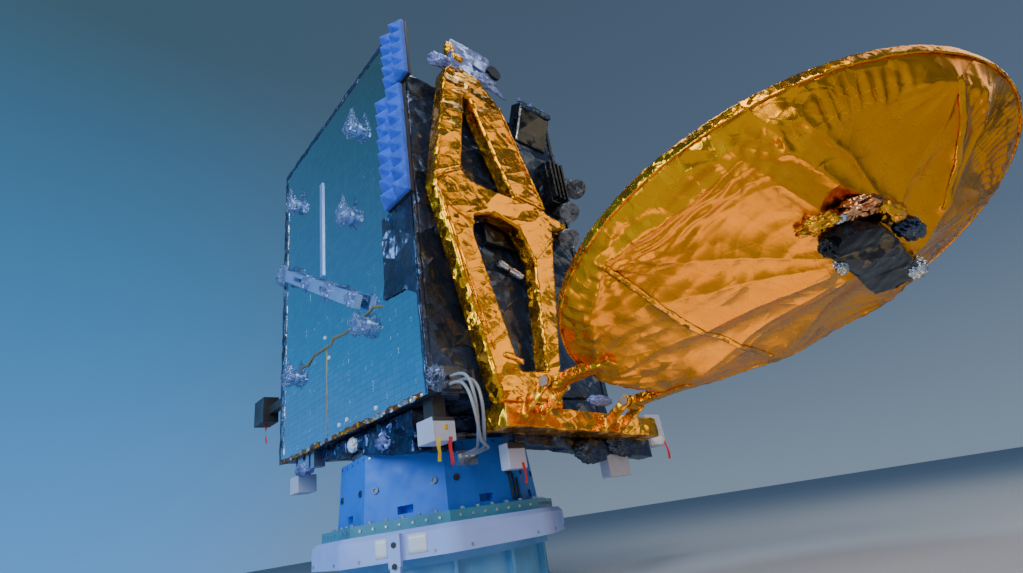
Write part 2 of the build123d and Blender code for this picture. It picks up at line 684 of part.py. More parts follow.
def adapter_face_plane():
    """Plane on the adapter's +X face, turned with the stand, x along the face and z outward."""
    turn = radians(STAND_TURN - 22.5)
    outward = Vector(cos(turn), sin(turn), 0)
    origin = outward * adapter_flat(0)
    return Plane(origin=(origin.X, origin.Y, ADAPTER_Z), x_dir=(-sin(turn), cos(turn), 0), z_dir=outward)


def cable_box():
    """Junction box on the adapter with a gland for each test cable."""
    out, wide, tall = CABLE_BOX
    box = Pos(CABLE_BOX_AT, CABLE_BOX_TOP - tall / 2, out / 2 - 12) * Box(wide, tall, out + 24)
    for offset in (-40, 0, 40):
        box += Pos(CABLE_BOX_AT + offset, CABLE_BOX_TOP - 26, out + GLAND_L / 2) * Cylinder(GLAND_R, GLAND_L)
    return adapter_face_plane().location * box - octagon_adapter()


def cable_tube(points):
    """Round tube on straight runs joined by arcs as large as the runs allow."""
    corners = [Vector(*point) for point in points]
    runs = [after - before for before, after in zip(corners, corners[1:])]
    radii = []
    for before, after in zip(runs, runs[1:]):
        turn = radians(before.get_angle(after))
        radii.append(0.45 * min(before.length, after.length) / tan(turn / 2))
    path = FilletPolyline(*corners, radius=radii)
    section = Plane(origin=corners[0], z_dir=runs[0]) * Circle(CABLE_R)
    tube = sweep(section, path=path)
    print("cable radii", [round(radius) for radius in radii], "length", round(path.length),
          "volume over section times length", round(tube.volume / (pi * CABLE_R ** 2 * path.length), 4))
    return tube


def nodes():
    """Every piece by its node name."""
    south = {"radiator": radiator_south(), "hold_downs": hold_downs(), "array_bar": array_bar()}
    pieces = {
        "stand_base": stand_base(), "turntable_ring": turntable_ring(), "ring_latch": ring_latch(),
        "flange_plate": flange_plate(), "octagon_adapter": octagon_adapter(), "adapter_cups": adapter_cups(),
        "clamp_ring": clamp_ring(), "adapter_cone": adapter_cone(),
        "east_wall": east_wall(), "west_wall": west_wall(), "base_deck": base_deck(),
        "earth_deck": earth_deck(), "central_tube": central_tube(),
        "cable_duct": cable_duct(), "foam_board": foam_board(), "foam_teeth": foam_teeth(),
        "edge_flap": edge_flap(), "west_box": west_box(),
        "a_frame": a_frame(), "frame_feet": frame_feet(), "apex_bracket": apex_bracket(),
        "apex_disc": apex_disc(), "deck_box": deck_box(), "wall_box": wall_box(), "foil_roll": foil_roll(),
        "feed_base": feed_base(), "feed_horns": feed_horns(), "connector_block": connector_block(),
        "connector_plate": connector_plate(), "belly_band": belly_band(),
        "thruster_covers": thruster_covers(), "cover_arms": cover_arms(),
        "belly_blanket": belly_blanket(), "belly_brackets": belly_brackets(),
        "hinge_base": hinge_base(), "hinge_pins": hinge_pins(),
        "reflector_dish": reflector_dish(), "reflector_rim": reflector_rim(),
        "reflector_tent": reflector_tent(), "reflector_hub": reflector_hub(),
        "reflector_arms": reflector_arms(), "cable_box": cable_box(),
    }
    for name, route in CABLE_ROUTES.items():
        pieces[name] = cable_tube(route)
    for name, piece in south.items():
        pieces[f"{name}_south"] = piece
        pieces[f"{name}_north"] = mirrored_y(piece)
    return pieces


def main():
    """Write one STEP file for each piece."""
    os.makedirs("parts", exist_ok=True)
    for name, piece in nodes().items():
        export_step(piece, f"parts/{name}.step")
    print("hinge at", HINGE_AT, "axis", ACROSS)


main()
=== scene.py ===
"""Looks of the satellite on its test stand: foil wraps, mirror panels, covers, cables and the stand's paint.

Lengths are metres in the part's own frame: +Z up, the origin on the floor under the body's middle, the mirror
radiators facing -Y and +Y, the gold frame and the reflector on the +X side.
"""
import logging
import math
from contextlib import contextmanager
from dataclasses import dataclass
from enum import Enum
from typing import Iterable, Iterator, Sequence

import bmesh
import bpy
import numpy as np
from mathutils import Matrix, Vector, noise


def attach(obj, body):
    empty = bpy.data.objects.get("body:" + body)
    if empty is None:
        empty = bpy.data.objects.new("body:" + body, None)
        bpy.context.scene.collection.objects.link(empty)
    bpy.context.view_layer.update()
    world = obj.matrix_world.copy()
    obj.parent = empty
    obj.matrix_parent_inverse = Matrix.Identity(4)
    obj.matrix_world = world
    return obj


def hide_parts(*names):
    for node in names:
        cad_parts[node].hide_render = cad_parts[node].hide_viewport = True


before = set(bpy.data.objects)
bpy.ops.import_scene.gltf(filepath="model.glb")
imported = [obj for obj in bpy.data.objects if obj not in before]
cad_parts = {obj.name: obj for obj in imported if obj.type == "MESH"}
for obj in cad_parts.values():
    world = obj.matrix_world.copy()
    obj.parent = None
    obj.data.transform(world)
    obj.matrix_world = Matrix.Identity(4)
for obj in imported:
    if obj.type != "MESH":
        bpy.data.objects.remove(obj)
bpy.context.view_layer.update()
log = logging.getLogger("satellite")

Point = Sequence[float]
Colour = tuple[float, float, float]
Pair = tuple[float, float]
Stops = tuple[tuple[float, Colour], ...]
Dressed = tuple[tuple[object, tuple[str, ...]], ...]

# Distance of each mirror's face from the middle plane, and X of the gold frame's front.
MIRROR_Y = 0.728
FRAME_FRONT = 1.22
# Where soft noise has nearly all its values.
NOISE_LOW = 0.3
NOISE_HIGH = 0.7


class Body(Enum):
    """The two rigid bodies of the part."""

    STAND = "body_and_stand"
    REFLECTOR = "reflector"


class Shade(Enum):
    """How a piece is shaded."""

    FACETS = False
    SMOOTH = True


class Side(Enum):
    """The mirror radiator that a piece is on, as the sign of its Y."""

    SOUTH = -1
    NORTH = 1


class Nodes:
    """A node tree, with short calls that add nodes and join them."""

    def __init__(self, tree: bpy.types.NodeTree) -> None:
        """Take the tree."""
        self.tree = tree

    def put(self, socket: bpy.types.NodeSocket, value: object) -> None:
        """Join a socket to another, or set its own value.

        Args:
            socket: The input to fill.
            value: A socket, a colour or a number.
        """
        if isinstance(value, bpy.types.NodeSocket):
            self.tree.links.new(value, socket)
        elif isinstance(value, tuple) and len(value) == 3 and socket.type == "RGBA":
            socket.default_value = (*value, 1)
        else:
            socket.default_value = value

    def add(self, kind: str, settings: dict | None = None, **inputs: object) -> bpy.types.Node:
        """Add a node.

        Args:
            kind: The node's type.
            settings: The node's own options.
            inputs: Values or sockets by input name, with _ for a space.

        Returns:
            The new node.
        """
        node = self.tree.nodes.new(kind)
        for key, value in (settings or {}).items():
            setattr(node, key, value)
        for key, value in inputs.items():
            self.put(node.inputs[key.replace("_", " ")], value)
        return node

    def maths(self, operation: str, first: object, second: object = 0.0) -> bpy.types.NodeSocket:
        """Take one step of arithmetic on numbers.

        Args:
            operation: The step.
            first: Socket or number.
            second: Socket or number, where the step takes two.

        Returns:
            The result.
        """
        node = self.add("ShaderNodeMath", {"operation": operation})
        self.put(node.inputs[0], first)
        self.put(node.inputs[1], second)
        return node.outputs[0]

    def vector(self, operation: str, first: object, second: object) -> bpy.types.NodeSocket:
        """Take one step of arithmetic on vectors.

        Args:
            operation: The step.
            first: Socket or vector.
            second: Socket or vector, or a number where the step scales.

        Returns:
            The result, a number where the step gives one.
        """
        node = self.add("ShaderNodeVectorMath", {"operation": operation})
        self.put(node.inputs[0], first)
        self.put(node.inputs["Scale"] if operation == "SCALE" else node.inputs[1], second)
        return node.outputs["Value"] if operation == "DOT_PRODUCT" else node.outputs[0]

    def blend(self, factor: object, low: object, high: object) -> bpy.types.NodeSocket:
        """Blend two colours.

        Args:
            factor: Share of the second.
            low: Colour at 0.
            high: Colour at 1.

        Returns:
            The colour.
        """
        node = self.add("ShaderNodeMix", {"data_type": "RGBA"})
        for index, value in ((0, factor), (6, low), (7, high)):
            self.put(node.inputs[index], value)
        return node.outputs[2]


class Shading(Nodes):
    """One material's nodes."""

    def __init__(self, name: str) -> None:
        """Start a material with a Principled shader.

        Args:
            name: The material's name.
        """
        self.material = bpy.data.materials.new(name)
        self.material.use_nodes = True
        super().__init__(self.material.node_tree)
        self.shader = self.tree.nodes["Principled BSDF"]
        self.place = self.add("ShaderNodeTexCoord").outputs["Object"]

    def noise(self, scale: float, detail: float = 3, kind: str = "FBM", vector: object = None,
              rough: float = 0.5) -> bpy.types.NodeSocket:
        """Noise from 0 to 1 with a scale in cells per metre."""
        return self.add("ShaderNodeTexNoise", {"noise_type": kind}, Vector=vector or self.place, Scale=scale,
                        Detail=detail, Roughness=rough).outputs[0]

    def spread(self, value: object, low: float, high: float, to_low: float = 0.0,
               to_high: float = 1.0) -> bpy.types.NodeSocket:
        """Number moved from one range to another, held at its ends."""
        return self.add("ShaderNodeMapRange", Value=value, From_Min=low, From_Max=high, To_Min=to_low,
                        To_Max=to_high).outputs[0]

    def vary(self, scale: float, detail: float, low: float = 0.0, high: float = 1.0) -> bpy.types.NodeSocket:
        """Soft noise that fills a range."""
        return self.spread(self.noise(scale, detail), NOISE_LOW, NOISE_HIGH, low, high)

    def cells(self, size: float, vector: object = None) -> bpy.types.Node:
        """Random cells of a size in metres."""
        return self.add("ShaderNodeTexVoronoi", Vector=vector or self.place, Scale=1 / size)

    def turned(self, vector: object, turn: float, stretch: float) -> bpy.types.NodeSocket:
        """Place turned about X and drawn out along the turned Y.

        Args:
            vector: Place to turn.
            turn: Angle in degrees above level.
            stretch: How many times longer a mark is than it is wide.

        Returns:
            The new place.
        """
        return self.add("ShaderNodeMapping", {"vector_type": "TEXTURE"}, Vector=vector,
                        Rotation=(math.radians(turn), 0.0, 0.0), Scale=(1.0, stretch, 1.0)).outputs[0]

    def drifted(self, size: float, reach: float) -> bpy.types.NodeSocket:
        """Move the place about by soft noise, so that straight edges wander.

        Args:
            size: Width of the noise.
            reach: How far it moves.

        Returns:
            The moved place.
        """
        drift = self.add("ShaderNodeTexNoise", Vector=self.place, Scale=1 / size, Detail=2.0).outputs["Color"]
        return self.vector("ADD", self.place,
                           self.vector("SCALE", self.vector("SUBTRACT", drift, (0.5, 0.5, 0.5)), reach))

    def facets(self, size: float, tilt: float, vector: object) -> bpy.types.NodeSocket:
        """Height in metres of flat facets, each tilted its own way.

        Args:
            size: Width of a facet.
            tilt: Steepest slope of one.
            vector: Place to read.

        Returns:
            The height socket.
        """
        cells = self.cells(size, vector)
        lean = self.vector("SUBTRACT", cells.outputs["Color"], (0.5, 0.5, 0.5))
        inside = self.vector("SUBTRACT", vector, cells.outputs["Position"])
        return self.maths("MULTIPLY", self.vector("DOT_PRODUCT", inside, lean), tilt * 2)

    def creases(self, size: float, height: float, vector: object) -> bpy.types.NodeSocket:
        """Raise thin creases along the facets' edges.

        Args:
            size: Width of a facet.
            height: Height of a crease.
            vector: Place to read.

        Returns:
            The height socket.
        """
        edge = self.add("ShaderNodeTexVoronoi", {"feature": "DISTANCE_TO_EDGE"}, Vector=vector,
                        Scale=1 / size).outputs["Distance"]
        crease_share = 0.09
        return self.spread(edge, 0.0, crease_share, height, 0.0)

    def bump(self, height: object, strength: float, distance: float = 1.0) -> None:
        """Set the shader's normal from a height."""
        node = self.add("ShaderNodeBump", Height=height, Strength=strength, Distance=distance)
        self.put(self.shader.inputs["Normal"], node.outputs[0])

    def surface(self, **inputs: object) -> bpy.types.Material:
        """Set the shader's own inputs.

        Args:
            inputs: Values or sockets by input name, with _ for a space.

        Returns:
            The material.
        """
        for key, value in inputs.items():
            self.put(self.shader.inputs[key.replace("_", " ")], value)
        return self.material


@dataclass(frozen=True)
class Foil:
    """Crinkled metallised film, such as a thermal blanket's outer layer."""

    name: str
    colour: Colour
    shade: Colour
    crease: float = 0.05
    tilt: float = 0.3
    rough: float = 0.2
    metallic: float = 1.0
    slants: Pair = (34.0, -28.0)
    stretch: float = 2.6
    ripple: float = 0.0005
    coarse: float = 1.9
    fine: float = 0.8
    patch_scale: float = 3.6
    ripple_scale: float = 70.0
    tone_scale: float = 1.6
    gloss_scale: float = 9.0
    by_attribute: bool = False

    def make(self) -> bpy.types.Material:
        """Build the material.

        Returns:
            The material.
        """
        s = Shading(self.name)
        place = s.drifted(self.crease * 3, self.crease * 0.8)
        wide = s.turned(place, self.slants[0], self.stretch)
        tight = s.turned(place, self.slants[1], self.stretch * 0.8)
        patches = s.spread(s.noise(self.patch_scale, 2), 0.4, 0.62, 0.12, 1.0)
        big, small = self.crease * self.coarse, self.crease * self.fine
        height = s.maths("ADD", s.facets(big, self.tilt, wide),
                         s.creases(big, self.crease * self.tilt * 0.07, wide))
        fine = s.maths("ADD", s.facets(small, self.tilt * 1.1, tight),
                       s.creases(small, self.crease * self.tilt * 0.04, tight))
        height = s.maths("ADD", height, s.maths("MULTIPLY", fine, patches))
        height = s.maths("ADD", height, s.maths("MULTIPLY", s.noise(self.ripple_scale), self.ripple))
        if self.by_attribute:
            amount = s.add("ShaderNodeAttribute", {"attribute_name": "crumple"}).outputs["Fac"]
            height = s.maths("MULTIPLY", height, amount)
        s.bump(height, 1.0)
        rough = s.vary(self.gloss_scale, 3, self.rough * 0.8, self.rough * 1.35)
        return s.surface(Base_Color=s.blend(s.vary(self.tone_scale, 2), self.shade, self.colour),
                         Roughness=rough, Metallic=self.metallic, Specular_IOR_Level=0.6)


@dataclass(frozen=True)
class Coat:
    """Painted, plated or moulded surface with fine grain and soiled patches."""

    name: str
    colour: Colour
    soil: Colour
    rough: float = 0.4
    metallic: float = 0.0
    grain: float = 300.0
    depth: float = 0.0002
    gloss: float = 0.0
    soil_scale: float = 3.1
    scuff_scale: float = 24.0
    gloss_scale: float = 11.0

    def make(self) -> bpy.types.Material:
        """Build the material.

        Returns:
            The material.
        """
        s = Shading(self.name)
        patches = s.spread(s.noise(self.soil_scale, 6, rough=0.62), 0.48, 0.72, to_high=0.7)
        scuffs = s.spread(s.noise(self.scuff_scale, 5, "RIDGED_MULTIFRACTAL"), 0.62, 0.9, to_high=0.35)
        colour = s.blend(s.maths("MAXIMUM", patches, scuffs), self.colour, self.soil)
        s.bump(s.maths("MULTIPLY", s.noise(self.grain), self.depth), 0.8)
        rough = s.vary(self.gloss_scale, 5, self.rough * 0.8, self.rough * 1.3)
        return s.surface(Base_Color=colour, Roughness=rough, Metallic=self.metallic, Coat_Weight=self.gloss,
                         Coat_Roughness=0.15)


@dataclass(frozen=True)
class ClearFilm:
    """Thin clear plastic wrap, creased."""

    name: str
    colour: Colour = (0.42, 0.56, 0.95)
    clear: float = 0.82
    fold: float = 0.04
    crinkle: float = 0.016
    rough: Pair = (0.04, 0.12)

    def make(self) -> bpy.types.Material:
        """Build the material.

        Returns:
            The material.
        """
        s = Shading(self.name)
        place = s.drifted(0.05, 0.02)
        s.bump(s.maths("ADD", s.facets(self.fold, 0.9, place), s.facets(self.crinkle, 0.5, place)), 1.0)
        folds = s.maths("MAXIMUM", s.creases(self.fold, 1.0, place), s.creases(0.019, 0.55, place))
        tone = s.spread(s.noise(26), 0.4, 0.6)
        return s.surface(Base_Color=s.blend(tone, tuple(c * 0.6 for c in self.colour), self.colour),
                         Roughness=s.vary(40, 2, *self.rough), Specular_IOR_Level=1.0, Metallic=0.35,
                         Alpha=s.spread(folds, 0, 1, 1 - self.clear, 0.95))


@dataclass(frozen=True)
class Patchwork:
    """Overlapping pieces of tape in a few metallic colours."""

    name: str
    colours: tuple[Colour, Colour, Colour] = ((0.75, 0.33, 0.04), (0.8, 0.8, 0.84), (0.5, 0.16, 0.03))
    patch: float = 0.06
    facet: float = 0.02
    grain: float = 0.0008

    def make(self) -> bpy.types.Material:
        """Build the material.

        Returns:
            The material.
        """
        s = Shading(self.name)
        pick = s.add("ShaderNodeSeparateXYZ", Vector=s.cells(self.patch).outputs["Color"])
        first = s.blend(s.maths("GREATER_THAN", pick.outputs[0], 0.55), self.colours[0], self.colours[1])
        colour = s.blend(s.maths("GREATER_THAN", pick.outputs[1], 0.7), first, self.colours[2])
        grain = s.maths("MULTIPLY", s.noise(120, 2), self.grain)
        s.bump(s.maths("ADD", s.facets(self.facet, 0.5, s.place), grain), 1.0)
        return s.surface(Base_Color=colour, Roughness=s.vary(30, 2, 0.18, 0.34), Metallic=0.9)


@dataclass(frozen=True)
class Absorber:
    """Open-celled foam."""

    name: str
    colour: Colour = (0.035, 0.14, 0.82)
    pore_scale: float = 420.0
    pore_depth: float = 0.0009
    lump_depth: float = 0.002

    def make(self) -> bpy.types.Material:
        """Build the material.

        Returns:
            The material.
        """
        s = Shading(self.name)
        pores = s.add("ShaderNodeTexVoronoi", Vector=s.place, Scale=self.pore_scale).outputs["Distance"]
        lumps = s.maths("MULTIPLY", s.noise(60), self.lump_depth)
        s.bump(s.maths("ADD", s.maths("MULTIPLY", pores, self.pore_depth), lumps), 1.0)
        tone = s.spread(s.noise(16, 4), 0.35, 0.7)
        return s.surface(Base_Color=s.blend(tone, tuple(c * 0.62 for c in self.colour), self.colour),
                         Roughness=0.95, Sheen_Weight=0.35)


@dataclass(frozen=True)
class MirrorTile:
    """Rows of thin silvered glass tiles, each very slightly tilted, with dark gaps and a smear of dust."""

    name: str
    # Painted reflection: the teal colour stands in for the blue-teal room that the silvered tiles reflect.
    colour: Colour = (0.62, 0.78, 0.88)
    back: Colour = (0.03, 0.035, 0.045)
    tile: Pair = (0.078, 0.039)
    gap: float = 0.0015
    tilt: float = 0.012
    sway: float = 0.0022
    dust: Colour = (0.55, 0.66, 0.74)
    grout: Colour = (0.05, 0.1, 0.16)
    back_rough: float = 0.45
    edge_normal: float = 0.3

    def make(self) -> bpy.types.Material:
        """Build the material.

        Returns:
            The material.
        """
        s = Shading(self.name)
        parts = s.add("ShaderNodeSeparateXYZ", Vector=s.place)
        lines = []
        inside = []
        cells = []
        for socket, size in ((parts.outputs[0], self.tile[0]), (parts.outputs[2], self.tile[1])):
            count = s.maths("DIVIDE", socket, size)
            cells.append(s.maths("FLOOR", count))
            middle = s.maths("SUBTRACT", s.maths("FRACT", count), 0.5)
            inside.append(s.maths("MULTIPLY", middle, size))
            lines.append(s.maths("GREATER_THAN", s.maths("ABSOLUTE", middle), 0.5 - self.gap / size / 2))
        cell = s.add("ShaderNodeCombineXYZ", X=cells[0], Y=cells[1])
        chance = s.add("ShaderNodeTexWhiteNoise", Vector=cell.outputs[0]).outputs["Color"]
        lean = s.add("ShaderNodeSeparateXYZ", Vector=s.vector("SUBTRACT", chance, (0.5, 0.5, 0.5)))
        height = s.maths("ADD", s.maths("MULTIPLY", lean.outputs[0], inside[0]),
                         s.maths("MULTIPLY", lean.outputs[1], inside[1]))
        s.bump(s.maths("ADD", s.maths("MULTIPLY", height, self.tilt),
                       s.maths("MULTIPLY", s.noise(2.4, 2), self.sway)), 1.0)
        smear = s.spread(s.noise(2.6, 6, rough=0.65), 0.46, 0.85)
        specks = s.spread(s.noise(90), 0.64, 0.8, to_high=0.6)
        tint = s.spread(lean.outputs[2], -0.5, 0.5, 0.92, 1.0)
        # The glass colour is the painted teal reflection, with a real smear of dust and a random tone for
        # each tile.
        glass = s.vector("SCALE", s.blend(s.maths("MULTIPLY", smear, 0.3), self.colour, self.dust), tint)
        rough = s.maths("ADD", s.maths("MULTIPLY", smear, 0.06), s.maths("MULTIPLY", specks, 0.15))
        tiled = s.blend(s.maths("MULTIPLY", s.maths("MAXIMUM", *lines), 0.5), glass, self.grout)
        normal = s.add("ShaderNodeSeparateXYZ", Vector=s.add("ShaderNodeTexCoord").outputs["Normal"])
        outward = s.maths("MULTIPLY", normal.outputs[1], parts.outputs[1])
        front = s.maths("GREATER_THAN", outward, self.edge_normal)
        dull = s.maths("MULTIPLY", s.maths("SUBTRACT", 1.0, front), self.back_rough)
        return s.surface(Base_Color=s.blend(front, self.back, tiled), Metallic=front,
                         Roughness=s.maths("MAXIMUM", s.maths("ADD", rough, 0.03), dull))


@dataclass(frozen=True)
class Braid:
    """Woven metal sleeve that follows the cable, by the cable's own UV map."""

    name: str
    colour: Colour = (0.55, 0.58, 0.64)
    turns_along: float = 150.0
    strands_around: float = 8.0
    depth: float = 0.0008

    def make(self) -> bpy.types.Material:
        """Build the material.

        Returns:
            The material.
        """
        s = Shading(self.name)
        uv = s.add("ShaderNodeTexCoord").outputs["UV"]
        parts = s.add("ShaderNodeSeparateXYZ", Vector=uv)
        along = s.maths("MULTIPLY", parts.outputs[0], self.turns_along)
        around = s.maths("MULTIPLY", parts.outputs[1], self.strands_around)
        left = s.maths("SINE", s.maths("MULTIPLY", s.maths("ADD", along, around), 2 * math.pi))
        right = s.maths("SINE", s.maths("MULTIPLY", s.maths("SUBTRACT", along, around), 2 * math.pi))
        weave = s.spread(s.maths("MULTIPLY", left, right), -1, 1)
        s.bump(s.maths("MULTIPLY", weave, self.depth), 1.0)
        # Painted shade: the colour darkens where the weave is low, between the strands.
        colour = s.blend(weave, tuple(c * 0.45 for c in self.colour), self.colour)
        return s.surface(Base_Color=colour, Roughness=0.42, Metallic=0.55)


GOLD = Foil("gold_foil", (1.0, 0.42, 0.014), (0.9, 0.35, 0.008), crease=0.026, tilt=0.24, rough=0.22,
            stretch=3.6, slants=(24.0, -38.0))
HINGE_GOLD = Foil("hinge_gold_foil", (1.0, 0.46, 0.03), (0.9, 0.38, 0.018), crease=0.045, tilt=0.28,
                  rough=0.24)
TENT_GOLD = Foil("tent_gold_foil", (1.0, 0.4, 0.01), (0.9, 0.32, 0.006), crease=0.05, tilt=0.26, rough=0.26,
                 by_attribute=True)
AMBER = Foil("amber_tape", (0.4, 0.2, 0.02), (0.26, 0.13, 0.012), crease=0.03, tilt=0.35, rough=0.22)
# The blue in the black foil's colours is painted reflection: with metallic set, it gives bluish glints, as
# from a blue room.
BLACK = Foil("black_foil", (0.085, 0.125, 0.22), (0.028, 0.042, 0.08), crease=0.08, tilt=0.4, rough=0.24,
             metallic=0.7)
GLOSS_BLACK = Foil("gloss_black_foil", (0.018, 0.022, 0.032), (0.008, 0.01, 0.014), crease=0.09, tilt=0.2,
                   rough=0.16, metallic=0.5)
NAVY = Foil("blue_black_foil", (0.035, 0.07, 0.2), (0.012, 0.02, 0.06), crease=0.07, tilt=0.5, rough=0.22,
            metallic=0.7)
SILVER = Foil("silver_foil", (0.8, 0.82, 0.86), (0.6, 0.62, 0.68), crease=0.03, tilt=0.6, rough=0.2)
BLUE_FILM = Foil("blue_film", (0.3, 0.37, 0.74), (0.15, 0.19, 0.46), crease=0.05, tilt=0.4, rough=0.24,
                 metallic=0.3, ripple=0.0001)
GREY_FILM = Foil("grey_film", (0.22, 0.23, 0.26), (0.1, 0.105, 0.12), crease=0.028, tilt=0.7, rough=0.26,
                 metallic=0.3)
COPPER = Foil("copper_foil", (0.85, 0.42, 0.2), (0.6, 0.24, 0.1), crease=0.025, tilt=0.6, rough=0.2)
STAND_PAINT = Coat("stand_paint", (0.15, 0.42, 0.68), (0.1, 0.28, 0.5), rough=0.42, gloss=0.15)
RING_PAINT = Coat("ring_paint", (0.38, 0.5, 0.98), (0.28, 0.38, 0.8), rough=0.45)
FLANGE = Coat("flange_metal", (0.06, 0.25, 0.34), (0.03, 0.12, 0.18), rough=0.4, gloss=0.2)
ADAPTER_PAINT = Coat("adapter_paint", (0.015, 0.18, 0.78), (0.012, 0.12, 0.5), rough=0.5)
STEEL = Coat("bare_steel", (0.5, 0.5, 0.52), (0.3, 0.29, 0.28), rough=0.32, metallic=1.0)
ALLOY = Coat("bare_alloy", (0.66, 0.69, 0.76), (0.45, 0.48, 0.55), rough=0.3, metallic=1.0)
BLUE_ALLOY = Coat("blue_alloy", (0.34, 0.5, 0.86), (0.24, 0.36, 0.66), rough=0.36, metallic=0.6)
DARK_ALLOY = Coat("dark_alloy", (0.1, 0.11, 0.14), (0.05, 0.055, 0.07), rough=0.36, metallic=0.8)
TANK = Coat("tank_mass", (0.5, 0.5, 0.5), (0.35, 0.35, 0.35), rough=0.5, metallic=0.8)
SKIN = Coat("dish_skin", (0.6, 0.6, 0.58), (0.42, 0.42, 0.4), rough=0.5)
BLACK_PLASTIC = Coat("black_plastic", (0.025, 0.026, 0.03), (0.06, 0.062, 0.07), rough=0.42)
WHITE_PLASTIC = Coat("white_plastic", (0.52, 0.55, 0.72), (0.38, 0.4, 0.52), rough=0.35, gloss=0.2)
PLATE_PAINT = Coat("plate_paint", (0.78, 0.8, 0.88), (0.62, 0.64, 0.74), rough=0.3, gloss=0.3)
HARNESS = Coat("harness_tape", (0.3, 0.22, 0.08), (0.16, 0.12, 0.05), rough=0.35, metallic=0.3)
RED_CLOTH = Coat("red_streamer", (0.62, 0.02, 0.03), (0.4, 0.01, 0.02), rough=0.7)
YELLOW_CLOTH = Coat("yellow_streamer", (0.75, 0.5, 0.03), (0.5, 0.32, 0.02), rough=0.7)
FOAM = Absorber("blue_foam")
TILE = MirrorTile("mirror_tiles")
FILM = ClearFilm("clear_film")
EDGE_TAPE = Patchwork("edge_tape")
JACKET = Braid("cable_jacket")

MADE: dict[str, bpy.types.Material] = {}


def paint(finish: object) -> bpy.types.Material:
    """Make a finish's material once.

    Args:
        finish: The finish.

    Returns:
        Its material.
    """
    if finish.name not in MADE:
        MADE[finish.name] = finish.make()
    return MADE[finish.name]


def dress(finish: object, *nodes: str) -> None:
    """Give carried-over nodes their finish.

    Args:
        finish: The finish.
        nodes: Names of nodes that stay in view.
    """
    for name in nodes:
        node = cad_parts[name]
        node.data.materials.clear()
        node.data.materials.append(paint(finish))
        log.info("dressed %s in %s", name, finish.name)


def new_object(name: str, data: bpy.types.ID) -> bpy.types.Object:
    """Put a mesh, curve, camera or lamp into the scene as an object at the origin.

    Args:
        name: The object's name.
        data: What it holds.

    Returns:
        The object.
    """
    piece = bpy.data.objects.new(name, data)
    bpy.context.scene.collection.objects.link(piece)
    return piece


@contextmanager
def edited(mesh: bpy.types.Mesh) -> Iterator[bmesh.types.BMesh]:
    """Open a mesh for changes and write them back at the end.

    Args:
        mesh: The mesh.

    Returns:
        The opened mesh.
    """
    work = bmesh.new()
    work.from_mesh(mesh)
    yield work
    work.to_mesh(mesh)
    work.free()


def baked(piece: bpy.types.Object) -> bpy.types.Object:
    """Turn an object's modifiers into plain mesh, keeping its name.

    Args:
        piece: The object.

    Returns:
        The same object.
    """
    bpy.context.view_layer.update()
    depsgraph = bpy.context.evaluated_depsgraph_get()
    mesh = bpy.data.meshes.new_from_object(piece.evaluated_get(depsgraph), depsgraph=depsgraph)
    piece.modifiers.clear()
    old = piece.data
    piece.data = mesh
    if isinstance(old, bpy.types.Mesh) and old.users == 0:
        bpy.data.meshes.remove(old)
    return piece


def settle(piece: bpy.types.Object, finish: object, body: Body = Body.STAND, stands_for: Iterable[str] = (),
           shade: Shade = Shade.SMOOTH) -> bpy.types.Object:
    """Finish a piece: material, shading, body and the nodes it stands for.

    Args:
        piece: The new object.
        finish: Its finish.
        body: The body it rides on.
        stands_for: Nodes that it replaces.
        shade: Smooth or faceted.

    Returns:
        The piece.
    """
    if not piece.data.materials:
        piece.data.materials.append(paint(finish))
    if isinstance(piece.data, bpy.types.Mesh):
        piece.data.polygons.foreach_set("use_smooth", [shade.value] * len(piece.data.polygons))
    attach(piece, body.value)
    nodes = tuple(stands_for)
    if nodes:
        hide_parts(*nodes)
    log.info("made %s, for %s", piece.name, ", ".join(nodes) or "detail")
    return piece


def copy_of(node: str, name: str) -> bpy.types.Object:
    """Copy a node's mesh as a new object, its loose triangles joined.

    Args:
        node: The node.
        name: Name of the new object.

    Returns:
        The new object.
    """
    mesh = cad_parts[node].data.copy()
    mesh.materials.clear()
    with edited(mesh) as work:
        bmesh.ops.remove_doubles(work, verts=work.verts, dist=1e-5)
        bmesh.ops.recalc_face_normals(work, faces=work.faces)
    return new_object(name, mesh)


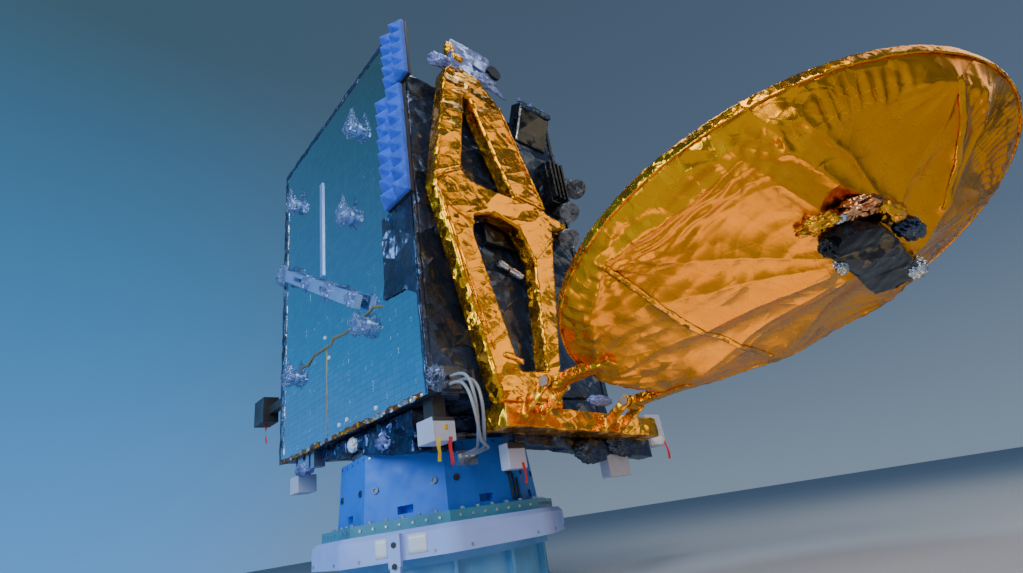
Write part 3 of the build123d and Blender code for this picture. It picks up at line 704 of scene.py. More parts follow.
class Tree(Nodes):
    """A geometry node tree with named inputs."""

    def __init__(self, name: str, inputs: dict[str, float | tuple]) -> None:
        """Start a tree.

        Args:
            name: The tree's name.
            inputs: Default of each named input, a number or a vector.
        """
        super().__init__(bpy.data.node_groups.new(name, "GeometryNodeTree"))
        face = self.tree.interface
        face.new_socket("Geometry", in_out="INPUT", socket_type="NodeSocketGeometry")
        for key, value in inputs.items():
            kind = "NodeSocketVector" if isinstance(value, tuple) else "NodeSocketFloat"
            face.new_socket(key, in_out="INPUT", socket_type=kind).default_value = value
        face.new_socket("Finish", in_out="INPUT", socket_type="NodeSocketMaterial")
        face.new_socket("Geometry", in_out="OUTPUT", socket_type="NodeSocketGeometry")
        self.enter = self.tree.nodes.new("NodeGroupInput").outputs
        self.leave = self.tree.nodes.new("NodeGroupOutput").inputs

    def end(self, geometry: bpy.types.NodeSocket) -> None:
        """Realize, set the material and leave the tree.

        Args:
            geometry: What the tree has made.
        """
        plain = self.add("GeometryNodeRealizeInstances", Geometry=geometry).outputs[0]
        coated = self.add("GeometryNodeSetMaterial", Geometry=plain, Material=self.enter["Finish"])
        self.put(self.leave[0], coated.outputs[0])

    def apply(self, piece: bpy.types.Object, finish: object, **values: float | Point) -> bpy.types.Object:
        """Run the tree on an object and bake it.

        Args:
            piece: The object whose mesh goes in.
            finish: Finish of what comes out.
            values: Inputs by name, with _ for a space.

        Returns:
            The object, now plain mesh.
        """
        modifier = piece.modifiers.new("tree", "NODES")
        modifier.node_group = self.tree
        by_name = {item.name: item.identifier for item in self.tree.interface.items_tree
                   if item.in_out == "INPUT"}
        for key, value in values.items():
            modifier[by_name[key.replace("_", " ")]] = value
        modifier[by_name["Finish"]] = paint(finish)
        return baked(piece)


def wrinkle_tree() -> Tree:
    """Make the tree that moves a skin along its normals by soft folds and sharp creases.

    Returns:
        The tree.
    """
    tree = Tree("foil wrinkles", {"Fold Size": 0.2, "Fold Depth": 0.01, "Crease Size": 0.06,
                                  "Crease Depth": 0.004, "Stretch": (1.0, 1.0, 1.0), "Seed": 0.0})
    place = tree.add("GeometryNodeInputPosition").outputs[0]
    stretched = tree.vector("MULTIPLY", place, tree.enter["Stretch"])
    layers = []
    for size, depth, kind in (("Fold Size", "Fold Depth", "FBM"),
                              ("Crease Size", "Crease Depth", "RIDGED_MULTIFRACTAL")):
        scale = tree.maths("DIVIDE", 1.0, tree.enter[size])
        noise = tree.add("ShaderNodeTexNoise", {"noise_dimensions": "4D", "noise_type": kind},
                         Vector=stretched, W=tree.enter["Seed"], Scale=scale, Detail=2.0)
        level = tree.maths("SUBTRACT", noise.outputs[0], 0.5)
        layers.append(tree.maths("MULTIPLY", level, tree.enter[depth]))
    normal = tree.add("GeometryNodeInputNormal").outputs[0]
    move = tree.vector("SCALE", normal, tree.maths("ADD", *layers))
    tree.end(tree.add("GeometryNodeSetPosition", Geometry=tree.enter["Geometry"], Offset=move).outputs[0])
    return tree


def stud_tree() -> Tree:
    """Make the tree that sets a small capped stud on each vertex, along its own direction.

    Returns:
        The tree.
    """
    tree = Tree("studs", {"Radius": 0.008, "Height": 0.006, "Sides": 6.0})
    stud = tree.add("GeometryNodeMeshCylinder", Vertices=tree.enter["Sides"], Radius=tree.enter["Radius"],
                    Depth=tree.enter["Height"]).outputs[0]
    along = tree.add("GeometryNodeInputNamedAttribute", {"data_type": "FLOAT_VECTOR"},
                     Name="along").outputs[0]
    turn = tree.add("FunctionNodeAlignRotationToVector", {"axis": "Z"}, Vector=along).outputs[0]
    points = tree.add("GeometryNodeMeshToPoints", Mesh=tree.enter["Geometry"]).outputs[0]
    tree.end(tree.add("GeometryNodeInstanceOnPoints", Points=points, Instance=stud, Rotation=turn).outputs[0])
    return tree


WRINKLES = wrinkle_tree()
STUDS = stud_tree()


def studs(name: str, places: Sequence[tuple[Point, Point]], finish: object, radius: float, height: float,
          body: Body = Body.STAND) -> bpy.types.Object:
    """Small fasteners.

    Args:
        name: The piece's name.
        places: Middle and direction of each.
        finish: Their finish.
        radius: Over the corners.
        height: Along the direction.
        body: The body they ride on.

    Returns:
        One piece with all of them.
    """
    mesh = bpy.data.meshes.new(name)
    mesh.from_pydata([tuple(place) for place, _ in places], [], [])
    attribute = mesh.attributes.new("along", "FLOAT_VECTOR", "POINT")
    attribute.data.foreach_set("vector", [value for _, along in places for value in along])
    piece = STUDS.apply(new_object(name, mesh), finish, Radius=radius, Height=height)
    return settle(piece, finish, body, shade=Shade.FACETS)


@dataclass
class Wrap:
    """Foil, film or foam skin over a node, with folds and creases of its own."""

    name: str
    node: str
    finish: object
    body: Body = Body.STAND
    voxel: float = 0.009
    fold: Pair = (0.16, 0.014)
    crease: Pair = (0.05, 0.007)
    stretch: tuple[float, float, float] = (1.0, 1.0, 1.0)
    seed: float = 0.0
    keep: float = 0.35

    def skin(self) -> bpy.types.Object:
        """Make one even skin over the node's copy.

        Returns:
            The skin's object.
        """
        piece = copy_of(self.node, self.name)
        remesh = piece.modifiers.new("even", "REMESH")
        remesh.mode = "VOXEL"
        remesh.voxel_size = self.voxel
        return baked(piece)

    def build(self) -> bpy.types.Object:
        """Make the wrap.

        Returns:
            The wrap's object.
        """
        piece = self.skin()
        WRINKLES.apply(piece, self.finish, Fold_Size=self.fold[0], Fold_Depth=self.fold[1],
                       Crease_Size=self.crease[0], Crease_Depth=self.crease[1], Stretch=self.stretch,
                       Seed=self.seed)
        if self.keep < 1:
            thin = piece.modifiers.new("fewer", "DECIMATE")
            thin.ratio = self.keep
            baked(piece)
        return settle(piece, self.finish, self.body, (self.node,))


@dataclass(frozen=True)
class Cord:
    """A test cable through the route's points."""

    name: str
    route: tuple[Point, ...]
    length: float
    diameter: float = 0.018

    def build(self) -> bpy.types.Object:
        """Returns:
            The cable's object.
        """
        curve = bpy.data.curves.new(self.name, "CURVE")
        curve.dimensions = "3D"
        curve.bevel_depth = self.diameter / 2
        curve.bevel_resolution = 5
        curve.use_fill_caps = True
        spline = curve.splines.new("NURBS")
        spline.points.add(len(self.route) - 1)
        for point, place in zip(spline.points, self.route):
            point.co = (*place, 1)
        spline.order_u = 3
        spline.use_endpoint_u = True
        spline.resolution_u = 12
        piece = new_object(self.name.replace("test", "braided"), curve)
        settle(piece, JACKET, stands_for=(self.name,))
        return piece


@dataclass
class Assembly:
    """Sub-assembly: nodes that take a finish as they are, and pieces that build themselves."""

    dressed: Dressed = ()
    pieces: tuple[object, ...] = ()

    def trim(self) -> None:
        """Add what the two tables don't hold."""

    def build(self) -> None:
        """Dress the nodes, build the pieces and add the trim."""
        for finish, nodes in self.dressed:
            dress(finish, *nodes)
        for piece in self.pieces:
            piece.build()
        self.trim()


@dataclass
class TestCables(Assembly):
    """Three braided test cables from the wall's connector to the box on the stand's adapter."""

    pieces: tuple[Cord, ...] = (
        Cord("test_cable_1", ((1.13, -0.642, 1.118), (1.21, -0.642, 1.118), (1.262, -0.63, 1.08),
                              (1.262, -0.605, 0.985), (1.215, -0.565, 0.895), (1.125, -0.5, 0.842),
                              (1.02, -0.425, 0.812), (0.92, -0.355, 0.793), (0.8352, -0.3169, 0.79),
                              (0.7066, -0.2977, 0.79)), 0.943),
        Cord("test_cable_2", ((1.13, -0.606, 1.092), (1.212, -0.606, 1.092), (1.27, -0.59, 1.05),
                              (1.268, -0.568, 0.96), (1.222, -0.535, 0.872), (1.14, -0.475, 0.822),
                              (1.03, -0.39, 0.8), (0.93, -0.315, 0.79), (0.8411, -0.2774, 0.79),
                              (0.7125, -0.2582, 0.79)), 0.946),
        Cord("test_cable_3", ((1.13, -0.65, 1.078), (1.205, -0.65, 1.078), (1.25, -0.638, 1.03),
                              (1.252, -0.612, 0.94), (1.215, -0.568, 0.848), (1.13, -0.5, 0.795),
                              (1.04, -0.39, 0.78), (0.94, -0.29, 0.786), (0.847, -0.2378, 0.79),
                              (0.7184, -0.2186, 0.79)), 0.973),
    )


def wander(rng: np.random.Generator, count: int, every: int) -> np.ndarray:
    """Smooth random numbers about zero.

    Args:
        rng: Seeded source.
        count: How many.
        every: Steps from one free value to the next.

    Returns:
        The numbers, mostly from -1 to 1.
    """
    knots = rng.uniform(-1, 1, max(2, count // every + 2))
    return np.interp(np.linspace(0, len(knots) - 1, count), np.arange(len(knots)), knots)


def evenly(path: Sequence[Point], step: float) -> np.ndarray:
    """Set points at even steps along straight runs, and keep the runs' own points.

    Args:
        path: The runs' ends.
        step: Longest step.

    Returns:
        Array of points.
    """
    points = [np.array(path[0], float)]
    for start, end in zip(path, path[1:]):
        start, end = np.array(start, float), np.array(end, float)
        count = max(1, int(np.linalg.norm(end - start) / step))
        points += [start + (end - start) * i / count for i in range(1, count + 1)]
    return np.array(points)


def tube_mesh(name: str, loops: np.ndarray) -> bpy.types.Mesh:
    """Closed mesh through loops of points, with flat ends.

    Args:
        name: The mesh's name.
        loops: Array of loops, points in a loop, coordinates.

    Returns:
        The mesh, its faces outward.
    """
    count, around, _ = loops.shape
    faces = [(i * around + j, i * around + (j + 1) % around, (i + 1) * around + (j + 1) % around,
              (i + 1) * around + j) for i in range(count - 1) for j in range(around)]
    faces.append(tuple(reversed(range(around))))
    faces.append(tuple(range((count - 1) * around, count * around)))
    mesh = bpy.data.meshes.new(name)
    mesh.from_pydata(loops.reshape(-1, 3).tolist(), [], faces)
    with edited(mesh) as work:
        bmesh.ops.recalc_face_normals(work, faces=work.faces)
    return mesh


@dataclass
class Tape:
    """Strip of tape or a flat harness, puckered, with wandering edges, laid along a path."""

    name: str
    path: Sequence[Point]
    width: float
    finish: object
    out: Point
    thickness: float = 0.002
    wave: float = 0.2
    pucker: float = 0.6
    step: float = 0.012
    seed: int = 1
    body: Body = Body.STAND
    ridges: int = 5
    edge_share: float = 0.5

    def build(self) -> bpy.types.Object:
        """Make the strip.

        Returns:
            The strip's object.
        """
        line = evenly(self.path, self.step)
        count = len(line)
        rng = np.random.default_rng(self.seed)
        along = np.gradient(line, axis=0)
        along /= np.linalg.norm(along, axis=1)[:, None]
        out = np.array(self.out, float) / np.linalg.norm(self.out)
        side = np.cross(out, along)
        half = [self.width / 2 * (1 + self.wave * wander(rng, count, 4)) for _ in range(2)]
        loop = []
        for k in range(self.ridges):
            share = k / (self.ridges - 1)
            offset = half[0] * (1 - share) - half[1] * share
            edge = self.edge_share if k in (0, self.ridges - 1) else 1.0
            lift = self.thickness * edge * (1 + self.pucker * wander(rng, count, 3))
            loop.append(line + side * offset[:, None] + out * lift[:, None])
        loop.append(line - side * half[1][:, None])
        loop.append(line + side * half[0][:, None])
        mesh = tube_mesh(self.name, np.stack(loop, axis=1))
        return settle(new_object(self.name, mesh), self.finish, self.body)


@dataclass
class Lump:
    """Crumpled film or foil gathered round something small, with an optional twisted tail."""

    name: str
    at: Point
    size: Point
    finish: object
    spikes: float = 0.35
    tail: Point | None = None
    seed: float = 0.0
    fine: int = 4
    body: Body = Body.STAND
    coarse_scale: float = 2.3
    fine_scale: float = 5.5
    tail_taper: int = 14

    def build(self) -> bpy.types.Object:
        """Make the lump.

        Returns:
            The lump's object.
        """
        mesh = bpy.data.meshes.new(self.name)
        shift = Vector((self.seed * 3.1, self.seed * 1.7, -self.seed * 2.3))
        tail = Vector(self.tail) if self.tail else None
        with edited(mesh) as work:
            bmesh.ops.create_icosphere(work, subdivisions=self.fine, radius=1.0)
            for vert in work.verts:
                way = vert.co.normalized()
                sharp = 1 - abs(noise.noise(way * self.coarse_scale + shift)) * 1.6
                small = 1 - abs(noise.noise(way * self.fine_scale - shift)) * 1.8
                reach = 1 + self.spikes * (sharp - 0.55) + self.spikes * 0.3 * (small - 0.5)
                place = Vector(self.at) + Vector([w * s * reach for w, s in zip(way, self.size)])
                if tail:
                    place += tail * max(0.0, way.dot(tail.normalized())) ** self.tail_taper
                vert.co = place
        return settle(new_object(self.name, mesh), self.finish, self.body)


@dataclass
class Streamer:
    """Cloth ribbon that hangs from a cover as a reminder to take it off."""

    name: str
    top: Point
    width: float
    length: float
    finish: object
    holds: str
    sway: float = 0.25
    seed: int = 1
    rows: int = 26
    facing: float = 0.7
    twist: float = 0.12

    def build(self) -> bpy.types.Object:
        """Make the ribbon at its true length.

        Returns:
            The ribbon's object.
        """
        count = self.rows
        rng = np.random.default_rng(self.seed)
        lean = self.sway * wander(rng, count, 7)
        twist = np.cumsum(wander(rng, count, 6)) * self.twist
        step = self.length / (count - 1)
        place = np.array(self.top, float)
        rows = []
        for i in range(count):
            across = np.array([math.sin(self.facing + twist[i]) * 0.6, math.cos(self.facing + twist[i]), 0.0])
            across /= np.linalg.norm(across)
            rows.append([place + across * self.width * (k - 1) / 2 for k in range(3)])
            drift = math.sin(lean[i]) * 0.7
            place = place + step * np.array([drift, drift, -math.cos(lean[i])])
        mesh = bpy.data.meshes.new(self.name)
        faces = [(3 * i + k, 3 * i + k + 1, 3 * i + k + 4, 3 * i + k + 3)
                 for i in range(count - 1) for k in range(2)]
        mesh.from_pydata(np.array(rows).reshape(-1, 3).tolist(), [], faces)
        piece = settle(new_object(self.name, mesh), self.finish)
        return piece


@dataclass
class Shell:
    """Hard piece that stands for a node: its copy with softened edges."""

    name: str
    node: str
    finish: object
    edge: float = 0.005
    body: Body = Body.STAND

    def build(self) -> bpy.types.Object:
        """Make the shell.

        Returns:
            The shell's object.
        """
        piece = copy_of(self.node, self.name)
        with edited(piece.data) as work:
            bmesh.ops.dissolve_limit(work, angle_limit=math.radians(1), verts=work.verts, edges=work.edges)
        bevel = piece.modifiers.new("soft edges", "BEVEL")
        bevel.width = self.edge
        bevel.segments = 3
        bevel.limit_method = "ANGLE"
        baked(piece)
        settle(piece, self.finish, self.body, (self.node,), Shade.FACETS)
        return piece


@dataclass(frozen=True)
class Lamp:
    """Soft square area light that the camera doesn't see."""

    name: str
    place: Point
    aim: Point
    size: float
    power: float
    colour: Colour

    def build(self) -> None:
        """Make the light."""
        data = bpy.data.lights.new(self.name, "AREA")
        data.size = self.size
        data.energy = self.power
        data.color = self.colour
        lamp = new_object(self.name, data)
        lamp.location = self.place
        lamp.rotation_mode = "QUATERNION"
        lamp.rotation_quaternion = (Vector(self.aim) - Vector(self.place)).to_track_quat("-Z", "Y")
        lamp.visible_camera = False


@dataclass
class Studio:
    """Camera at the photograph's place, pale floor and soft light."""

    place: Point = (3.291, -2.250, 0.3964)
    yaw: float = -0.7875
    pitch: float = 0.4124
    roll: float = -0.1633
    focal_pixels: float = 528.18
    image_width: float = 1023.0
    sensor: float = 36.0
    floor_size: float = 60.0
    floor_colour: Colour = (0.5, 0.54, 0.6)
    surround: Stops = ((0.0, (0.2, 0.27, 0.36)), (0.3, (0.1, 0.15, 0.23)), (1.0, (0.05, 0.08, 0.13)))
    blue_side: Stops = ((0.0, (0.1, 0.36, 0.86)), (0.36, (0.06, 0.23, 0.5)), (0.72, (0.05, 0.11, 0.16)))
    blue_way: Point = (-0.82, -0.46, 0.34)
    blue_range: Pair = (0.3, 0.95)
    lamps: tuple[Lamp, ...] = (
        Lamp("key", (6.5, -4.5, 5.5), (0.8, 0, 1.8), 4.0, 290, (1, 0.95, 0.88)),
        Lamp("front", (5.4, 3.8, 4.4), (1.4, 0.2, 2.0), 4.0, 82, (1, 0.78, 0.42)),
        Lamp("left", (1.0, -7.5, 3.6), (0, -0.7, 1.6), 3.5, 390, (0.5, 0.74, 1)),
        Lamp("top", (2.0, 0.4, 8.0), (1.6, 0.2, 1.5), 3.0, 130, (0.8, 0.9, 1)),
        Lamp("under", (2.2, 0.85, 0.03), (2.2, 0.85, 2.0), 1.25, 5.6, (1, 0.66, 0.2)),
        Lamp("under_front", (2.1, -0.95, 0.03), (2.1, -0.95, 2.0), 0.9, 3.4, (1, 0.68, 0.24)),
    )

    def camera(self) -> None:
        """Make the camera."""
        level_share, rise = math.cos(self.pitch), math.sin(self.pitch)
        forward = Vector((math.sin(self.yaw) * level_share, math.cos(self.yaw) * level_share, rise))
        level = Vector((math.cos(self.yaw), -math.sin(self.yaw), 0))
        above = level.cross(forward)
        right = level * math.cos(self.roll) + above * math.sin(self.roll)
        up = above * math.cos(self.roll) - level * math.sin(self.roll)
        data = bpy.data.cameras.new("camera")
        data.sensor_width = self.sensor
        data.lens = self.focal_pixels * self.sensor / self.image_width
        camera = new_object("camera", data)
        matrix = Matrix((right, up, -forward)).transposed().to_4x4()
        matrix.translation = Vector(self.place)
        camera.matrix_world = matrix
        bpy.context.scene.camera = camera

    def floor(self) -> None:
        """Make the floor."""
        half = self.floor_size / 2
        mesh = bpy.data.meshes.new("floor")
        corners = [(-half, -half, 0), (half, -half, 0), (half, half, 0), (-half, half, 0)]
        mesh.from_pydata(corners, [], [(0, 1, 2, 3)])
        floor = new_object("floor", mesh)
        mesh.materials.append(Shading("floor_paint").surface(Base_Color=self.floor_colour, Roughness=0.6))

    def sky(self) -> None:
        """Make the even surround: paler at the horizon and blue on the mirror's side."""
        world = bpy.data.worlds.new("surround")
        world.use_nodes = True
        nodes = Nodes(world.node_tree)
        way = nodes.add("ShaderNodeTexCoord").outputs["Generated"]
        height = nodes.add("ShaderNodeSeparateXYZ", Vector=way).outputs["Z"]
        share = nodes.add("ShaderNodeMapRange", {"interpolation_type": "SMOOTHERSTEP"},
                          Value=nodes.vector("DOT_PRODUCT", way, self.blue_way),
                          From_Min=self.blue_range[0], From_Max=self.blue_range[1]).outputs[0]
        ramps = []
        for stops in (self.surround, self.blue_side):
            ramp = nodes.add("ShaderNodeValToRGB", Fac=height)
            elements = ramp.color_ramp.elements
            for element, (position, colour) in zip(elements, (stops[0], stops[-1])):
                element.position = position
                element.color = (*colour, 1)
            for position, colour in stops[1:-1]:
                elements.new(position).color = (*colour, 1)
            ramps.append(ramp.outputs[0])
        nodes.put(nodes.tree.nodes["Background"].inputs[0], nodes.blend(share, *ramps))
        bpy.context.scene.world = world

    def build(self) -> None:
        """Make the camera, floor and lights."""
        self.camera()
        self.floor()
        self.sky()
        for lamp in self.lamps:
            lamp.build()


@dataclass
class Stand(Assembly):
    """Base drum, turntable ring, flange, eight-sided adapter and clamp band."""

    dressed: Dressed = (
        (STAND_PAINT, ("stand_base",)), (RING_PAINT, ("turntable_ring", "ring_latch")),
        (FLANGE, ("flange_plate",)), (ADAPTER_PAINT, ("octagon_adapter",)),
        (DARK_ALLOY, ("adapter_cups",)), (ALLOY, ("clamp_ring", "cable_box")))
    turn: float = 14.0
    ring_reach: float = 0.7945
    flange_reach: float = 0.7253
    flange_top: float = 0.5
    clamp_reach: float = 0.682
    clamp_spots: tuple[float, ...] = (-0.2, -0.1, 0.0, 0.1, 0.2)
    flange_spots: tuple[float, ...] = (-0.24, -0.16, -0.08, 0.0, 0.08, 0.16, 0.24)
    adapter_reach: Pair = (0.634, 0.6075)
    adapter_spots: tuple[float, ...] = (-0.22, -0.11, 0.0, 0.11, 0.22)
    ring_spots: Pair = (-0.22, 0.22)
    ring_middle: float = 0.315
    drum_flange: Pair = (0.714, 0.022)
    drum_bolts: int = 24
    rod_spots: tuple[float, ...] = (0.185, 0.21, 0.235)
    plate_middle: float = 0.362
    plates: tuple[tuple[str, float, float], ...] = (("left", -0.085, 0.07), ("right", 0.125, 0.11))
    latch_pins: Pair = (0.372, 0.268)
    latch_reach: float = 0.0295

    def on_face(self, side: int, reach: float, along: float, height: float) -> tuple[Vector, Vector]:
        """Find a place and outward direction on one of the eight faces.

        Args:
            side: Face, counted from the one towards +X.
            reach: Distance from the axis.
            along: Distance along the face.
            height: Height above the floor.

        Returns:
            The place and the direction.
        """
        angle = math.radians(self.turn - 22.5 + 45 * side)
        out = Vector((math.cos(angle), math.sin(angle), 0))
        return out * reach + Vector((-out.y, out.x, 0)) * along + Vector((0, 0, height)), out

    def row(self, reach: float, spots: Iterable[float], height: float) -> list[tuple[Vector, Vector]]:
        """Places and directions of a row on all eight faces."""
        return [self.on_face(side, reach, along, height) for side in range(8) for along in spots]

    def rods(self) -> None:
        """Dark guide rods beside the adapter's corner."""
        for number, along in enumerate(self.rod_spots):
            low, out = self.on_face(0, self.adapter_reach[0], along, 0.515)
            high, _ = self.on_face(0, self.adapter_reach[0] - 0.014, along, 0.7 - 0.03 * number)
            Tape(f"adapter_rod_{number + 1}", (low, high), 0.012, BLACK_PLASTIC, out, thickness=0.012,
                 wave=0.0, pucker=0.0).build()

    def fasteners(self) -> None:
        """Bolts, clamps and screws round the ring, flange, adapter and drum."""
        up = Vector((0, 0, 1))
        clamps = self.row(self.clamp_reach, self.clamp_spots, self.flange_top + 0.006)
        flange = self.row(self.flange_reach + 0.002, self.flange_spots, 0.47)
        adapter = self.row(self.adapter_reach[1], self.adapter_spots, 0.875)
        ring = self.row(self.ring_reach + 0.001, self.ring_spots, self.ring_middle)
        studs("flange_clamps", [(place, up) for place, _ in clamps], ALLOY, 0.013, 0.016)
        studs("flange_screws", flange, ALLOY, 0.0085, 0.009)
        studs("adapter_screws", adapter, STEEL, 0.007, 0.008)
        studs("ring_screws", ring, STEEL, 0.009, 0.008)
        radius, height = self.drum_flange
        turns = [2 * math.pi * (i + 0.5) / self.drum_bolts for i in range(self.drum_bolts)]
        drum = [(Vector((radius * math.cos(a), radius * math.sin(a), height + 0.004)), up) for a in turns]
        studs("drum_bolts", drum, STEEL, 0.012, 0.014)

    def ring_details(self) -> None:
        """Blank plates beside each latch, and the latches' dark pins."""
        for side, mark in ((-1, "front"), (3, "back")):
            for place, along, width in self.plates:
                ends = [self.on_face(side, self.ring_reach, along + half, self.plate_middle)
                        for half in (-width / 2, width / 2)]
                Tape(f"ring_plate_{mark}_{place}", (ends[0][0], ends[1][0]), 0.098, PLATE_PAINT, ends[0][1],
                     thickness=0.0022, wave=0.0, pucker=0.0).build()
            pins = [self.on_face(side, self.ring_reach + self.latch_reach, 0.0, height)
                    for height in self.latch_pins]
            studs(f"latch_pins_{mark}", pins, BLACK_PLASTIC, 0.016, 0.006)

    def trim(self) -> None:
        """Add rods, fasteners and plates."""
        self.rods()
        self.fasteners()
        self.ring_details()


@dataclass
class BusBody(Assembly):
    """The box body: blanketed walls and decks, the wrapped underside, covers and streamers."""

    dressed: Dressed = (
        (BLACK, ("base_deck", "earth_deck")), (TANK, ("central_tube",)),
        (BLACK_PLASTIC, ("cover_arms", "west_box")), (ALLOY, ("belly_brackets",)))
    cover_front: Point = (1.0125, -0.628, 0.885)
    lid_height: float = 0.928
    near_lid: tuple[Point, Point] = ((1.0435, -0.243, 0.772), (1.0435, -0.114, 0.772))
    pieces: tuple[Wrap | Lump | Shell | Streamer, ...] = (
        Wrap("east_blanket", "east_wall", BLACK, voxel=0.012, fold=(0.2, 0.022), crease=(0.08, 0.009),
             seed=11, keep=0.6),
        Wrap("west_blanket", "west_wall", BLACK, voxel=0.014, fold=(0.2, 0.022), crease=(0.08, 0.009),
             seed=12, keep=0.5),
        Wrap("cone_blanket", "adapter_cone", NAVY, voxel=0.014, fold=(0.3, 0.03), crease=(0.1, 0.012)),
        Wrap("belly_wrap", "belly_blanket", NAVY, fold=(0.14, 0.05), crease=(0.06, 0.016), seed=2),
        Wrap("band_wrap", "belly_band", BLACK, fold=(0.14, 0.03), crease=(0.06, 0.014), seed=3),
        Lump("film_knot", (0.42, -0.62, 0.93), (0.09, 0.05, 0.06), BLUE_FILM, 0.6, seed=3),
        Lump("white_fitting", (0.05, -0.66, 0.985), (0.05, 0.03, 0.045), PLATE_PAINT, 0.3, seed=4),
        Lump("bracket_film", (-0.72, -0.66, 0.97), (0.11, 0.045, 0.05), BLUE_FILM, 0.6, seed=6),
        Lump("band_knot", (1.07, 0.42, 0.72), (0.03, 0.14, 0.07), BLACK, 0.5, seed=8),
        Lump("band_knot_far", (1.07, 0.78, 0.76), (0.03, 0.16, 0.08), BLACK, 0.5, seed=9),
        Lump("end_cover_base", (1.067, 1.19, 0.765), (0.008, 0.075, 0.03), PLATE_PAINT, 0.2, seed=2),
        Shell("cover_shells", "thruster_covers", WHITE_PLASTIC, 0.007),
        Streamer("streamer_corner_yellow", (1.0165, -0.673, 0.835), 0.022, 0.12, YELLOW_CLOTH,
                 "cover_shells", seed=2),
        Streamer("streamer_corner_red", (1.0165, -0.598, 0.835), 0.02, 0.14, RED_CLOTH,
                 "cover_shells", seed=3),
        Streamer("streamer_beam_near", (1.046, -0.15, 0.68), 0.016, 0.11, RED_CLOTH, "cover_shells", seed=5),
        Streamer("streamer_beam_end", (1.07, 1.255, 0.76), 0.016, 0.13, RED_CLOTH, "cover_shells", seed=7),
        Streamer("streamer_west", (-1.6, -0.66, 1.475), 0.02, 0.16, RED_CLOTH, "west_box", seed=9),
    )

    def trim(self) -> None:
        """Add lid bands and the blank label on the covers."""
        x, y, middle = self.cover_front
        ahead = (1, 0, 0)
        Tape("cover_label", ((x, y - 0.005, middle), (x, y + 0.02, middle)), 0.024, YELLOW_CLOTH, ahead,
             thickness=0.001, wave=0.1).build()
        lid = [(x, y + across, self.lid_height) for across in (-0.07, 0.07)]
        Tape("cover_lid_band", lid, 0.02, BLACK_PLASTIC, ahead, thickness=0.0015, wave=0.0).build()
        Tape("near_cover_lid", self.near_lid, 0.03, BLACK_PLASTIC, ahead, wave=0.05).build()


